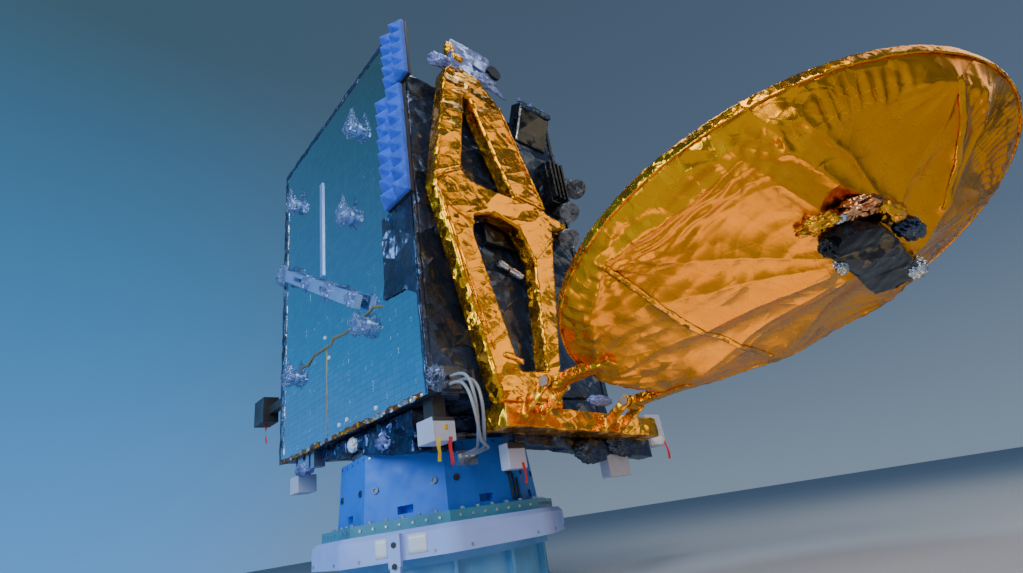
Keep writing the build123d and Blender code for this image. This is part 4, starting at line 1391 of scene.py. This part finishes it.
@dataclass
class Mirrors(Assembly):
    """Mirror radiators with their taped edges, film-wrapped hold-downs and the wing's root bar."""

    half: float = 1.05
    low: float = 1.05
    high: float = 3.74
    cut: Pair = (0.145, 0.24)
    inset: float = 0.02
    dressed: Dressed = (
        (TILE, ("radiator_south", "radiator_north")), (BLACK_PLASTIC, ("foam_board",)),
        (BLUE_ALLOY, ("hold_downs_south", "hold_downs_north", "array_bar_south", "array_bar_north",
                      "cable_duct")))
    pieces: tuple[Wrap, ...] = (
        Wrap("flap_wrap", "edge_flap", BLACK, voxel=0.006, fold=(0.16, 0.02), crease=(0.07, 0.01), seed=4,
             keep=0.3),)
    hold_downs: tuple[Pair, ...] = ((0.4, 3.25), (-0.77, 3.25), (0.4, 1.66), (-0.77, 1.66), (0.23, 2.57))
    tails: tuple[Point | None, ...] = ((0.02, 0, 0.1), (-0.01, 0, 0.12), None, (0, 0, 0.06), (0.0, 0, 0.13))
    bar_wraps: tuple[tuple[float, float, float], ...] = (
        (-0.9, 2.6, 0.1), (-0.36, 2.28, 0.07), (0.0, 2.06, 0.075), (0.36, 1.85, 0.06))
    harness: tuple[Pair, ...] = ((-0.665, 1.705), (-0.51, 1.673), (-0.4, 1.716), (-0.106, 1.702),
                                 (-0.056, 1.736), (0.1, 1.71), (0.262, 1.701), (0.525, 1.738), (0.63, 1.7))
    wire: tuple[Pair, ...] = ((-0.18, 1.69), (-0.18, 1.09))
    tags: tuple[Pair, ...] = ((-0.205, 1.79), (-0.142, 1.62), (0.49, 1.11), (0.11, 1.13), (0.0, 1.12))

    def on(self, side: Side, x: float, z: float, out: float = 0.0) -> Point:
        """Place on a mirror, or in front of it."""
        return (x, side.value * (MIRROR_Y + out), z)

    def edges(self, side: Side) -> None:
        """Lay black foil tape round the panel and patched tape along its foot.

        Args:
            side: The mirror.
        """
        mark = side.name.lower()
        out = (0, side.value, 0)
        top = self.high - self.inset
        left = -self.half + self.inset
        border = [(left, self.low), (left, top), (self.half - self.cut[0], top)]
        strip = [(-self.half + 0.075, self.low + 0.05), (-self.half + 0.075, self.high - 0.3)]
        foot = [(x, self.low + 0.012) for x in (-self.half, 0.05, 0.98)]
        rise = [(self.half + 0.001, side.value * (MIRROR_Y - 0.011), z) for z in (self.low + 0.02, 3.14)]
        Tape(f"edge_tape_{mark}", [self.on(side, *point) for point in border], 0.04, BLACK, out,
             thickness=0.006, wave=0.5, seed=3).build()
        Tape(f"pale_strip_{mark}", [self.on(side, *point) for point in strip], 0.035, SILVER, out,
             thickness=0.0015, wave=0.1, seed=4).build()
        Tape(f"front_edge_tape_{mark}", rise, 0.034, BLACK, (1, 0, 0), thickness=0.005, seed=8).build()
        Tape(f"foot_tape_{mark}", [self.on(side, *point) for point in foot], 0.03, EDGE_TAPE, out,
             thickness=0.004, wave=0.5, pucker=0.9, seed=5).build()

    def wraps(self, side: Side) -> None:
        """Gather clear film round the hold-downs and the bar.

        Args:
            side: The mirror.
        """
        mark = side.name.lower()
        for number, ((x, z), tail) in enumerate(zip(self.hold_downs, self.tails), 1):
            Lump(f"hold_down_wrap_{number}_{mark}", self.on(side, x, z, 0.05), (0.075, 0.045, 0.075), FILM,
                 0.5, tail, seed=float(number), fine=3).build()
        for number, (x, z, size) in enumerate(self.bar_wraps, 1):
            tail = (-0.02, 0, 0.05) if number == 1 else None
            Lump(f"bar_wrap_{number}_{mark}", self.on(side, x, z, 0.058), (size, 0.05, size * 0.8), FILM, 0.6,
                 tail, seed=number + 10.0, fine=3).build()

    def wiring(self, side: Side) -> None:
        """Lay the taped harness, a wire down the panel and small tags.

        Args:
            side: The mirror.
        """
        mark = side.name.lower()
        out = (0, side.value, 0)
        Tape(f"mirror_harness_{mark}", [self.on(side, *point) for point in self.harness], 0.017, HARNESS, out,
             thickness=0.008, wave=0.25, seed=6).build()
        Tape(f"mirror_wire_{mark}", [self.on(side, *point) for point in self.wire], 0.006, HARNESS, out,
             thickness=0.004, wave=0.1, seed=7).build()
        tags = [(self.on(side, *point, 0.003), out) for point in self.tags]
        studs(f"mirror_tags_{mark}", tags, PLATE_PAINT, 0.014, 0.006)

    def foam(self) -> None:
        """Absorber foam on the south panel's upright edge."""
        piece = Wrap("foam_blocks", "foam_teeth", FOAM, voxel=0.006, fold=(0.05, 0.006), crease=(0.02, 0.003),
                     keep=0.5).build()

    def trim(self) -> None:
        """Add tape, film and wiring on both mirrors, and the foam."""
        for side in Side:
            self.edges(side)
            self.wraps(side)
            self.wiring(side)
        self.foam()


@dataclass
class GoldFrame(Assembly):
    """Foil-wrapped A-shaped frame with its taped joints and the film-covered head."""

    dressed: Dressed = ((BLACK_PLASTIC, ("frame_feet", "apex_disc")),)
    bands: tuple[tuple[Pair, Pair, float], ...] = (
        ((-0.668, 2.33), (-0.455, 2.46), 0.035), ((-0.655, 2.19), (-0.41, 2.06), 0.03),
        ((-0.01, 2.395), (0.262, 2.37), 0.035), ((0.075, 1.93), (0.29, 2.13), 0.03),
        ((-0.33, 1.24), (-0.19, 1.2), 0.03))
    dark_bands: tuple[tuple[Pair, Pair, float], ...] = (
        ((-0.5, 3.2), (-0.33, 3.22), 0.05), ((-0.545, 2.93), (-0.37, 2.97), 0.06),
        ((-0.285, 3.2), (-0.05, 3.17), 0.05))
    edgings: tuple[tuple[str, tuple[Pair, ...]], ...] = (
        ("left", ((-0.662, 2.31), (-0.475, 3.28), (-0.4, 3.385))),
        ("low", ((-0.655, 2.28), (-0.525, 1.78), (-0.39, 1.26))),
        ("right", ((-0.015, 3.16), (0.262, 2.36))))
    pieces: tuple[Wrap | Lump, ...] = (
        Wrap("frame_wrap", "a_frame", GOLD, voxel=0.008, fold=(0.16, 0.007), crease=(0.06, 0.0045),
             stretch=(1, 0.6, 1.8), keep=0.5),
        Wrap("apex_wrap", "apex_bracket", BLUE_FILM, voxel=0.006, fold=(0.12, 0.03), crease=(0.07, 0.006),
             seed=1),
        Lump("head_copper", (1.15, -0.36, 3.6), (0.03, 0.04, 0.075), HINGE_GOLD, 0.4, seed=2),
        Lump("head_copper_low", (1.19, -0.33, 3.5), (0.022, 0.05, 0.035), HINGE_GOLD, 0.4, seed=5),
        Lump("head_film", (1.2, -0.46, 3.37), (0.03, 0.11, 0.05), BLUE_FILM, 0.7, (0, -0.05, -0.05), seed=3),
        Lump("head_film_right", (1.2, -0.1, 3.4), (0.025, 0.1, 0.05), BLUE_FILM, 0.7, (0, 0.1, -0.07),
             seed=7),
    )

    def on_front(self, name: str, line: Iterable[Pair], width: float, finish: object,
                 **shape: float) -> None:
        """Lay tape on the frame's front face.

        Args:
            name: The piece's name.
            line: Points across and up the face.
            width: The tape's width.
            finish: Its finish.
            shape: Further sizes of the tape.
        """
        path = [(FRAME_FRONT + 0.001, *point) for point in line]
        Tape(name, path, width, finish, (1, 0, 0), **shape).build()

    def trim(self) -> None:
        """Add bands of tape across the beams and narrow tape along the outer edges."""
        for number, (start, end, width) in enumerate(self.bands + self.dark_bands):
            finish = GOLD if number < len(self.bands) else AMBER
            self.on_front(f"frame_band_{number + 1}", (start, end), width, finish, thickness=0.005,
                          pucker=0.7, seed=20 + number)
        for name, line in self.edgings:
            self.on_front(f"frame_edging_{name}", line, 0.014, GOLD, thickness=0.004, wave=0.4,
                          pucker=0.9, seed=len(name))


@dataclass
class WallEquipment(Assembly):
    """Boxes, feed tower, horns, connector and the hinge box on the +X wall."""

    dressed: Dressed = (
        (SILVER, ("foil_roll",)), (DARK_ALLOY, ("connector_block", "connector_plate")),
        (STEEL, ("hinge_pins",)))
    lean: Point = (0.917, 0, -0.4)
    stud_row: tuple[float, ...] = (0.313, 0.445, 0.577)
    pieces: tuple[Wrap | Lump, ...] = (
        Wrap("deck_box_wrap", "deck_box", GLOSS_BLACK, fold=(0.14, 0.01), crease=(0.06, 0.003), seed=5),
        Wrap("wall_box_wrap", "wall_box", GLOSS_BLACK, fold=(0.1, 0.014), crease=(0.04, 0.006), seed=6),
        Wrap("feed_tower_wrap", "feed_base", GLOSS_BLACK, voxel=0.006, fold=(0.1, 0.01), crease=(0.04, 0.004),
             seed=7),
        Wrap("horn_caps", "feed_horns", GREY_FILM, voxel=0.006, fold=(0.06, 0.014), crease=(0.03, 0.008),
             seed=8),
        Wrap("hinge_wrap", "hinge_base", HINGE_GOLD, voxel=0.008, fold=(0.16, 0.03), crease=(0.09, 0.012),
             seed=9, keep=0.45),
        Lump("horn_foil", (1.14, 0.46, 2.29), (0.05, 0.06, 0.035), GOLD, 0.6, seed=4),
        Lump("connector_film", (1.09, -0.7, 1.12), (0.04, 0.05, 0.06), FILM, 0.6, seed=21),
        Lump("hinge_film", (1.235, 0.4, 0.99), (0.02, 0.1, 0.03), BLUE_FILM, 0.6, seed=22),
    )

    def trim(self) -> None:
        """Lay a band and a strip on the leaning box, and set its row of studs."""
        band = ((1.184, 0.275, 3.39), (1.184, 0.615, 3.39))
        strip = ((1.064, 0.288, 3.116), (1.19, 0.288, 3.404))
        Tape("deck_box_top_band", band, 0.045, BLACK, self.lean, thickness=0.008, seed=41).build()
        Tape("deck_box_strip", strip, 0.018, SILVER, self.lean, thickness=0.005, wave=0.3, seed=42).build()
        row = [((1.15, y, 3.468), (-self.lean[2], 0, self.lean[0])) for y in self.stud_row]
        studs("deck_box_studs", row, BLUE_FILM, 0.013, 0.03)


@dataclass(frozen=True)
class Ridge:
    """Sharp fold of the tent through points in the dish's own plane."""

    points: tuple[Pair, ...]
    height: float
    width: float


@dataclass(frozen=True)
class Fan:
    """Tension folds that spread from a corner of the tent."""

    corner: Pair
    count: int
    height: float
    length: float


@dataclass
class TentFoil:
    """Foil tent pulled from the dish's rim over its back structure to the hub pad."""

    centre: Point = (2.51, 0.2, 1.305)
    tilt: float = math.radians(14.1)
    cant: float = math.radians(-7.7)
    half: Pair = (1.0225, 0.9625)
    rim_depth: float = 0.036
    hub: Pair = (0.35, 0.0)
    hub_radius: float = 0.15
    hub_depth: float = 0.235
    sag: float = 0.012
    bowl_rise: float = 0.15
    bowl_half: Pair = (1.035, 0.975)
    bowl_skin: float = 0.016
    ring_limit: float = 0.985
    lining: tuple[float, ...] = (1.0, 0.97, 0.9, 0.75, 0.5, 0.25)
    knuckles: tuple[Point, ...] = (
        (-0.33, -0.85, 0.1), (0.285, -0.835, 0.103), (0.88, -0.43, 0.092), (0.79, 0.43, 0.1),
        (0.25, 0.8, 0.105), (-0.4, 0.745, 0.12), (-0.9, 0.35, 0.12), (-0.955, -0.21, 0.12),
        (-0.6, -0.66, 0.098))
    fans: tuple[Fan, ...] = (
        Fan((-0.33, -0.85), 15, 0.006, 0.32), Fan((0.285, -0.835), 13, 0.005, 0.3),
        Fan((0.44, -0.87), 17, 0.005, 0.2), Fan((0.88, -0.43), 13, 0.006, 0.28),
        Fan((-0.955, -0.21), 13, 0.005, 0.3), Fan((-0.9, 0.35), 11, 0.006, 0.3),
        Fan((-0.4, 0.745), 13, 0.006, 0.3), Fan((0.25, 0.8), 13, 0.006, 0.3),
        Fan((0.79, 0.43), 13, 0.006, 0.3))
    ridges: tuple[Ridge, ...] = (
        Ridge(((-0.33, -0.85), (0.285, -0.835)), 0.022, 0.04),
        Ridge(((-0.33, -0.85), (-0.6, -0.66), (-0.955, -0.21)), 0.02, 0.04),
        Ridge(((0.285, -0.835), (0.312, -0.662), (0.337, -0.457), (0.303, -0.352)), 0.05, 0.075),
        Ridge(((0.441, -0.9), (0.401, -0.741), (0.43, -0.58), (0.439, -0.44), (0.493, -0.211)), 0.04, 0.05),
        Ridge(((0.441, -0.9), (0.492, -0.748), (0.518, -0.511), (0.493, -0.211)), 0.018, 0.03),
        Ridge(((0.88, -0.43), (0.738, -0.116), (0.64, 0.007)), 0.06, 0.08),
        Ridge(((0.951, -0.374), (0.878, -0.139), (0.64, 0.03), (0.427, 0.197)), 0.04, 0.05),
        Ridge(((-0.33, -0.85), (-0.352, -0.544), (-0.382, -0.209), (-0.371, 0.082), (-0.363, 0.57),
               (-0.4, 0.745)), 0.008, 0.03),
        Ridge(((-0.9, 0.35), (-0.4, 0.3), (0.2, 0.08)), 0.01, 0.06),
        Ridge(((0.25, 0.8), (0.3, 0.3)), 0.012, 0.05),
    )
    scraps: tuple[tuple[float, float, float, Point, object], ...] = (
        (0.3, -0.38, 0.225, (0.07, 0.05, 0.03), HINGE_GOLD), (0.42, -0.34, 0.24, (0.07, 0.06, 0.03), COPPER),
        (0.49, -0.2, 0.25, (0.04, 0.1, 0.03), HINGE_GOLD), (0.36, -0.37, 0.25, (0.03, 0.02, 0.015), SILVER),
        (0.5, 0.0, 0.25, (0.04, 0.1, 0.03), BLACK), (0.27, -0.3, 0.29, (0.03, 0.06, 0.03), GLOSS_BLACK),
        (0.25, -0.18, 0.31, (0.02, 0.03, 0.03), SILVER), (0.42, 0.22, 0.29, (0.04, 0.06, 0.04), SILVER))
    seam: tuple[Pair, ...] = ((0.88, -0.43), (0.738, -0.116), (0.62, 0.02))
    spokes: int = 540
    rings: int = 100

    def axes(self) -> tuple[np.ndarray, np.ndarray, np.ndarray]:
        """Find the dish's own directions.

        Returns:
            The outboard, sideways and boresight directions.
        """
        across = np.array([0, math.cos(self.cant), math.sin(self.cant)])
        up = np.array([0, -math.sin(self.cant), math.cos(self.cant)])
        ahead = np.array([1.0, 0, 0])
        return (ahead * math.cos(self.tilt) + up * math.sin(self.tilt), across,
                up * math.cos(self.tilt) - ahead * math.sin(self.tilt))

    def place(self, u: np.ndarray, v: np.ndarray, depth: np.ndarray) -> np.ndarray:
        """Turn the dish's own coordinates into the part's.

        Args:
            u: Outboard.
            v: Sideways.
            depth: Below the rim's plane.

        Returns:
            Points in the part's frame.
        """
        outboard, across, boresight = self.axes()
        return (np.array(self.centre) + u[..., None] * outboard + v[..., None] * across
                - depth[..., None] * boresight)

    def reach(self, angle: np.ndarray) -> np.ndarray:
        """Measure from the hub's middle to the rim.

        Args:
            angle: Bearing from the hub.

        Returns:
            The distance.
        """
        a, b = self.half
        c, s = np.cos(angle), np.sin(angle)
        first = (c / a) ** 2 + (s / b) ** 2
        second = self.hub[0] * c / a ** 2
        third = (self.hub[0] / a) ** 2 - 1
        return (-second + np.sqrt(second ** 2 - first * third)) / first

    def knuckle_line(self, angle: np.ndarray) -> tuple[np.ndarray, np.ndarray, np.ndarray]:
        """Find where a spoke crosses the ring of knuckles.

        Args:
            angle: Bearing from the hub.

        Returns:
            Distance, depth, and nearness to a corner from 0 to 1.
        """
        ring = np.array(self.knuckles)
        offset = ring[:, :2] - np.array(self.hub)
        bearing = np.arctan2(offset[:, 1], offset[:, 0]) % (2 * math.pi)
        order = np.argsort(bearing)
        offset, depth, bearing = offset[order], ring[order, 2], bearing[order]
        index = (np.searchsorted(bearing, angle % (2 * math.pi)) - 1) % len(order)
        after = (index + 1) % len(order)
        start, end = offset[index], offset[after]
        run = end - start
        way = np.stack([np.cos(angle), np.sin(angle)], axis=-1)
        cross = way[..., 0] * run[..., 1] - way[..., 1] * run[..., 0]
        distance = (start[..., 0] * run[..., 1] - start[..., 1] * run[..., 0]) / cross
        share = np.linalg.norm(way * distance[..., None] - start, axis=-1) / np.linalg.norm(run, axis=-1)
        return distance, depth[index] * (1 - share) + depth[after] * share, np.abs(2 * share - 1)

    def polar(self, u: np.ndarray, v: np.ndarray) -> tuple[np.ndarray, ...]:
        """See a place from the hub's middle.

        Args:
            u: Outboard.
            v: Sideways.

        Returns:
            Distance, bearing, then the rim's distance, the knuckle ring's distance and depth, and its
            nearness to a corner, all on that bearing.
        """
        du, dv = u - self.hub[0], v - self.hub[1]
        angle = np.arctan2(dv, du)
        edge = self.reach(angle)
        ring, deep, corner = self.knuckle_line(angle)
        return np.hypot(du, dv), angle, edge, np.minimum(ring, edge * self.ring_limit), deep, corner

    def nearness(self, u: np.ndarray, v: np.ndarray, line: Sequence[Pair]) -> np.ndarray:
        """Measure the distance from a run of points.

        Args:
            u: Outboard.
            v: Sideways.
            line: The run.

        Returns:
            The distance.
        """
        best = np.full(u.shape, 9.0)
        for (u0, v0), (u1, v1) in zip(line, line[1:]):
            run = np.array([u1 - u0, v1 - v0])
            share = np.clip(((u - u0) * run[0] + (v - v0) * run[1]) / (run @ run), 0, 1)
            best = np.minimum(best, np.hypot(u - u0 - share * run[0], v - v0 - share * run[1]))
        return best

    def bowl(self, u: np.ndarray, v: np.ndarray) -> np.ndarray:
        """Depth of the bowl's outer face."""
        a, b = self.bowl_half
        return self.bowl_rise * np.clip(1 - (u / a) ** 2 - (v / b) ** 2, 0, 1) + self.bowl_skin

    def folds(self, u: np.ndarray, v: np.ndarray) -> np.ndarray:
        """Shape the folds that fan from the corners, those along the near edge, and the loose drape.

        Args:
            u: Outboard.
            v: Sideways.

        Returns:
            The depth that they add.
        """
        total = np.zeros(u.shape)
        for number, fan in enumerate(self.fans):
            du, dv = u - fan.corner[0], v - fan.corner[1]
            away = np.hypot(du, dv)
            wave = np.abs(np.sin(np.arctan2(dv, du) * fan.count / 2 + number + 2.2 * away))
            fade = np.clip(away / 0.12, 0, 1) * np.exp(-(away / fan.length) ** 2)
            total += 1.7 * fan.height * (1 - wave) * fade
        away = self.nearness(u, v, self.ridges[0].points)
        shift = 0.012 * np.sin(u * 9.0) + 0.008 * np.sin(u * 23.0 + 1.3)
        ripple = 1 - np.abs(np.sin(math.pi * (away + shift) / 0.06))
        total += 0.009 * ripple * np.exp(-(away / 0.17) ** 2)
        for first, second, lean, slow, fast, small, gap, height in (
                (v, u, 0.25, 6.0, 17.0, 0.02, 0.11, 0.003 * np.clip(-v / 0.3, 0, 1)),
                (u, v, 0.35, 7.0, 19.0, 0.015, 0.13, 0.0018)):
            drift = 0.05 * np.sin(second * slow) + small * np.sin(second * fast)
            drape = np.abs(np.sin(math.pi * (first + lean * second + drift) / gap))
            total += height * (1 - drape)
        return total + 0.005 * np.sin(u * 11.0 + v * 6.0) + 0.01 * np.sin(u * 5.0 - v * 7.0 + 0.6)

    def depth(self, u: np.ndarray, v: np.ndarray) -> np.ndarray:
        """Shape the tent: panels to the hub, a skirt to the rim, ridges, folds and pleats.

        Args:
            u: Outboard.
            v: Sideways.

        Returns:
            Depth of its outer face below the rim's plane.
        """
        radius, angle, edge, ring, deep, corner = self.polar(u, v)
        inward = np.clip((ring - radius) / (ring - self.hub_radius), 0, 1)
        slack = self.sag * np.sin(math.pi * inward) * (1 - corner ** 2)
        panel = deep + (self.hub_depth - deep) * inward - slack
        outward = np.clip((edge - radius) / (edge - ring), 0, 1)
        skirt = self.rim_depth + (deep - self.rim_depth) * outward ** 0.85
        total = np.where(radius <= ring, panel, skirt)
        held = np.clip((edge - radius) / 0.05, 0, 1)
        knot = np.min([np.hypot(u - u0, v - v0) for u0, v0, _ in self.knuckles], axis=0)
        freed = held * (0.3 + 0.7 * (1 - np.exp(-(knot / 0.13) ** 2)))
        for ridge in self.ridges:
            total += freed * ridge.height * np.exp(-self.nearness(u, v, ridge.points) / ridge.width)
        total += held * self.folds(u, v)
        pleats = np.abs(np.sin(angle * 47 + 1.7 * np.sin(angle * 5)))
        total += 0.007 * (1 - pleats) * np.clip((radius - ring + 0.02) / 0.04, 0, 1) * held
        return np.maximum(total, self.bowl(u, v) + 0.009 * held + 0.003)

    def crumple(self, u: np.ndarray, v: np.ndarray) -> np.ndarray:
        """Share out the fine crumpling: most on the skirt, little on the stretched panels.

        Args:
            u: Outboard.
            v: Sideways.

        Returns:
            The share, from 0 to 1.
        """
        radius, _, _, ring, _, _ = self.polar(u, v)
        skirt = np.clip((radius - ring + 0.03) / 0.06, 0, 1)
        near = np.clip(1 - self.nearness(u, v, self.ridges[3].points) / 0.1, 0, 1)
        hub = np.clip(1.6 - radius / 0.2, 0, 1)
        patch = 0.5 + 0.5 * np.sin(u * 6.1 + 1.0) * np.sin(v * 5.3 + 2.0)
        return np.clip(0.12 + 0.22 * patch + 0.5 * skirt + 0.35 * near + 0.4 * hub, 0, 1)

    def grid(self, steps: np.ndarray) -> tuple[np.ndarray, np.ndarray]:
        """Set points on every spoke.

        Args:
            steps: Shares of the way from the hub's middle to the rim.

        Returns:
            Their outboard and sideways places.
        """
        angle = np.linspace(0, 2 * math.pi, self.spokes, endpoint=False)
        edge = self.reach(angle)
        return (self.hub[0] + steps[:, None] * (edge * np.cos(angle))[None, :],
                self.hub[1] + steps[:, None] * (edge * np.sin(angle))[None, :])

    def foil(self) -> bpy.types.Object:
        """Make the tent: the stretched outer face and a lining on the bowl, as one closed skin.

        Returns:
            The tent's object.
        """
        u, v = self.grid(np.linspace(0, 1, self.rings + 1)[1:])
        lining = self.grid(np.array(self.lining))
        hub = (np.array([self.hub[0]]), np.array([self.hub[1]]))
        points = np.concatenate([
            self.place(u, v, self.depth(u, v)).reshape(-1, 3),
            self.place(*lining, self.bowl(*lining) + 0.002).reshape(-1, 3),
            self.place(*hub, self.depth(*hub)), self.place(*hub, self.bowl(*hub) + 0.002)])
        n, rows = self.spokes, self.rings + len(self.lining)
        faces = [(i * n + j, i * n + (j + 1) % n, (i + 1) * n + (j + 1) % n, (i + 1) * n + j)
                 for i in range(rows - 1) for j in range(n)]
        faces += [(rows * n, (j + 1) % n, j) for j in range(n)]
        last = (rows - 1) * n
        faces += [(rows * n + 1, last + j, last + (j + 1) % n) for j in range(n)]
        mesh = bpy.data.meshes.new("tent_foil")
        mesh.from_pydata(points.tolist(), [], faces)
        with edited(mesh) as work:
            bmesh.ops.recalc_face_normals(work, faces=work.faces)
        amount = np.concatenate([self.crumple(u, v).ravel(), np.zeros(len(self.lining) * n + 2)])
        mesh.attributes.new("crumple", "FLOAT", "POINT").data.foreach_set("value", amount)
        return settle(new_object("tent_foil", mesh), TENT_GOLD, Body.REFLECTOR, ("reflector_tent",))

    def strip(self, name: str, line: Sequence[Pair], width: float, seed: int) -> None:
        """Lay tape on the tent.

        Args:
            name: The piece's name.
            line: Points in the dish's own plane.
            width: The tape's width.
            seed: For its puckers.
        """
        path = evenly([(*point, 0.0) for point in line], 0.015)
        places = self.place(path[:, 0], path[:, 1], self.depth(path[:, 0], path[:, 1]) + 0.0005)
        Tape(name, [tuple(place) for place in places], width, GOLD, tuple(-self.axes()[2]), wave=0.15,
             step=0.05, seed=seed, body=Body.REFLECTOR).build()

    def build(self) -> None:
        """Make the tent, its taped seams and the scraps round the hub."""
        self.foil()
        self.strip("tent_seam", self.ridges[7].points[:-1], 0.03, 31)
        self.strip("tent_seam_outboard", self.seam, 0.025, 32)
        for number, (u, v, deep, size, finish) in enumerate(self.scraps):
            at = self.place(np.array([u]), np.array([v]), np.array([deep]))[0]
            Lump(f"hub_scrap_{number + 1}", tuple(at), size, finish, 0.6, seed=50.0 + number,
                 body=Body.REFLECTOR).build()


@dataclass
class Reflector(Assembly):
    """Dish, rim, foil tent, hub fitting and arms, all on the moving body."""

    dressed: Dressed = ((SKIN, ("reflector_dish",)),)
    pieces: tuple[TentFoil | Wrap, ...] = (
        TentFoil(),
        Wrap("rim_foil", "reflector_rim", GOLD, Body.REFLECTOR, voxel=0.007, fold=(0.1, 0.008),
             crease=(0.04, 0.005), keep=0.5),
        Wrap("hub_wrap", "reflector_hub", GLOSS_BLACK, Body.REFLECTOR, voxel=0.006, fold=(0.14, 0.04),
             crease=(0.06, 0.016), seed=3),
        Wrap("arm_foil", "reflector_arms", GOLD, Body.REFLECTOR, voxel=0.006, fold=(0.1, 0.01),
             crease=(0.07, 0.004), seed=4),
    )


def main() -> None:
    """Make the studio and then each part of the object."""
    logging.basicConfig(level=logging.INFO, format="%(message)s")
    for part in (Studio, TestCables, Stand, BusBody, Mirrors, GoldFrame, WallEquipment, Reflector):
        part().build()


if __name__ == "__main__":
    main()
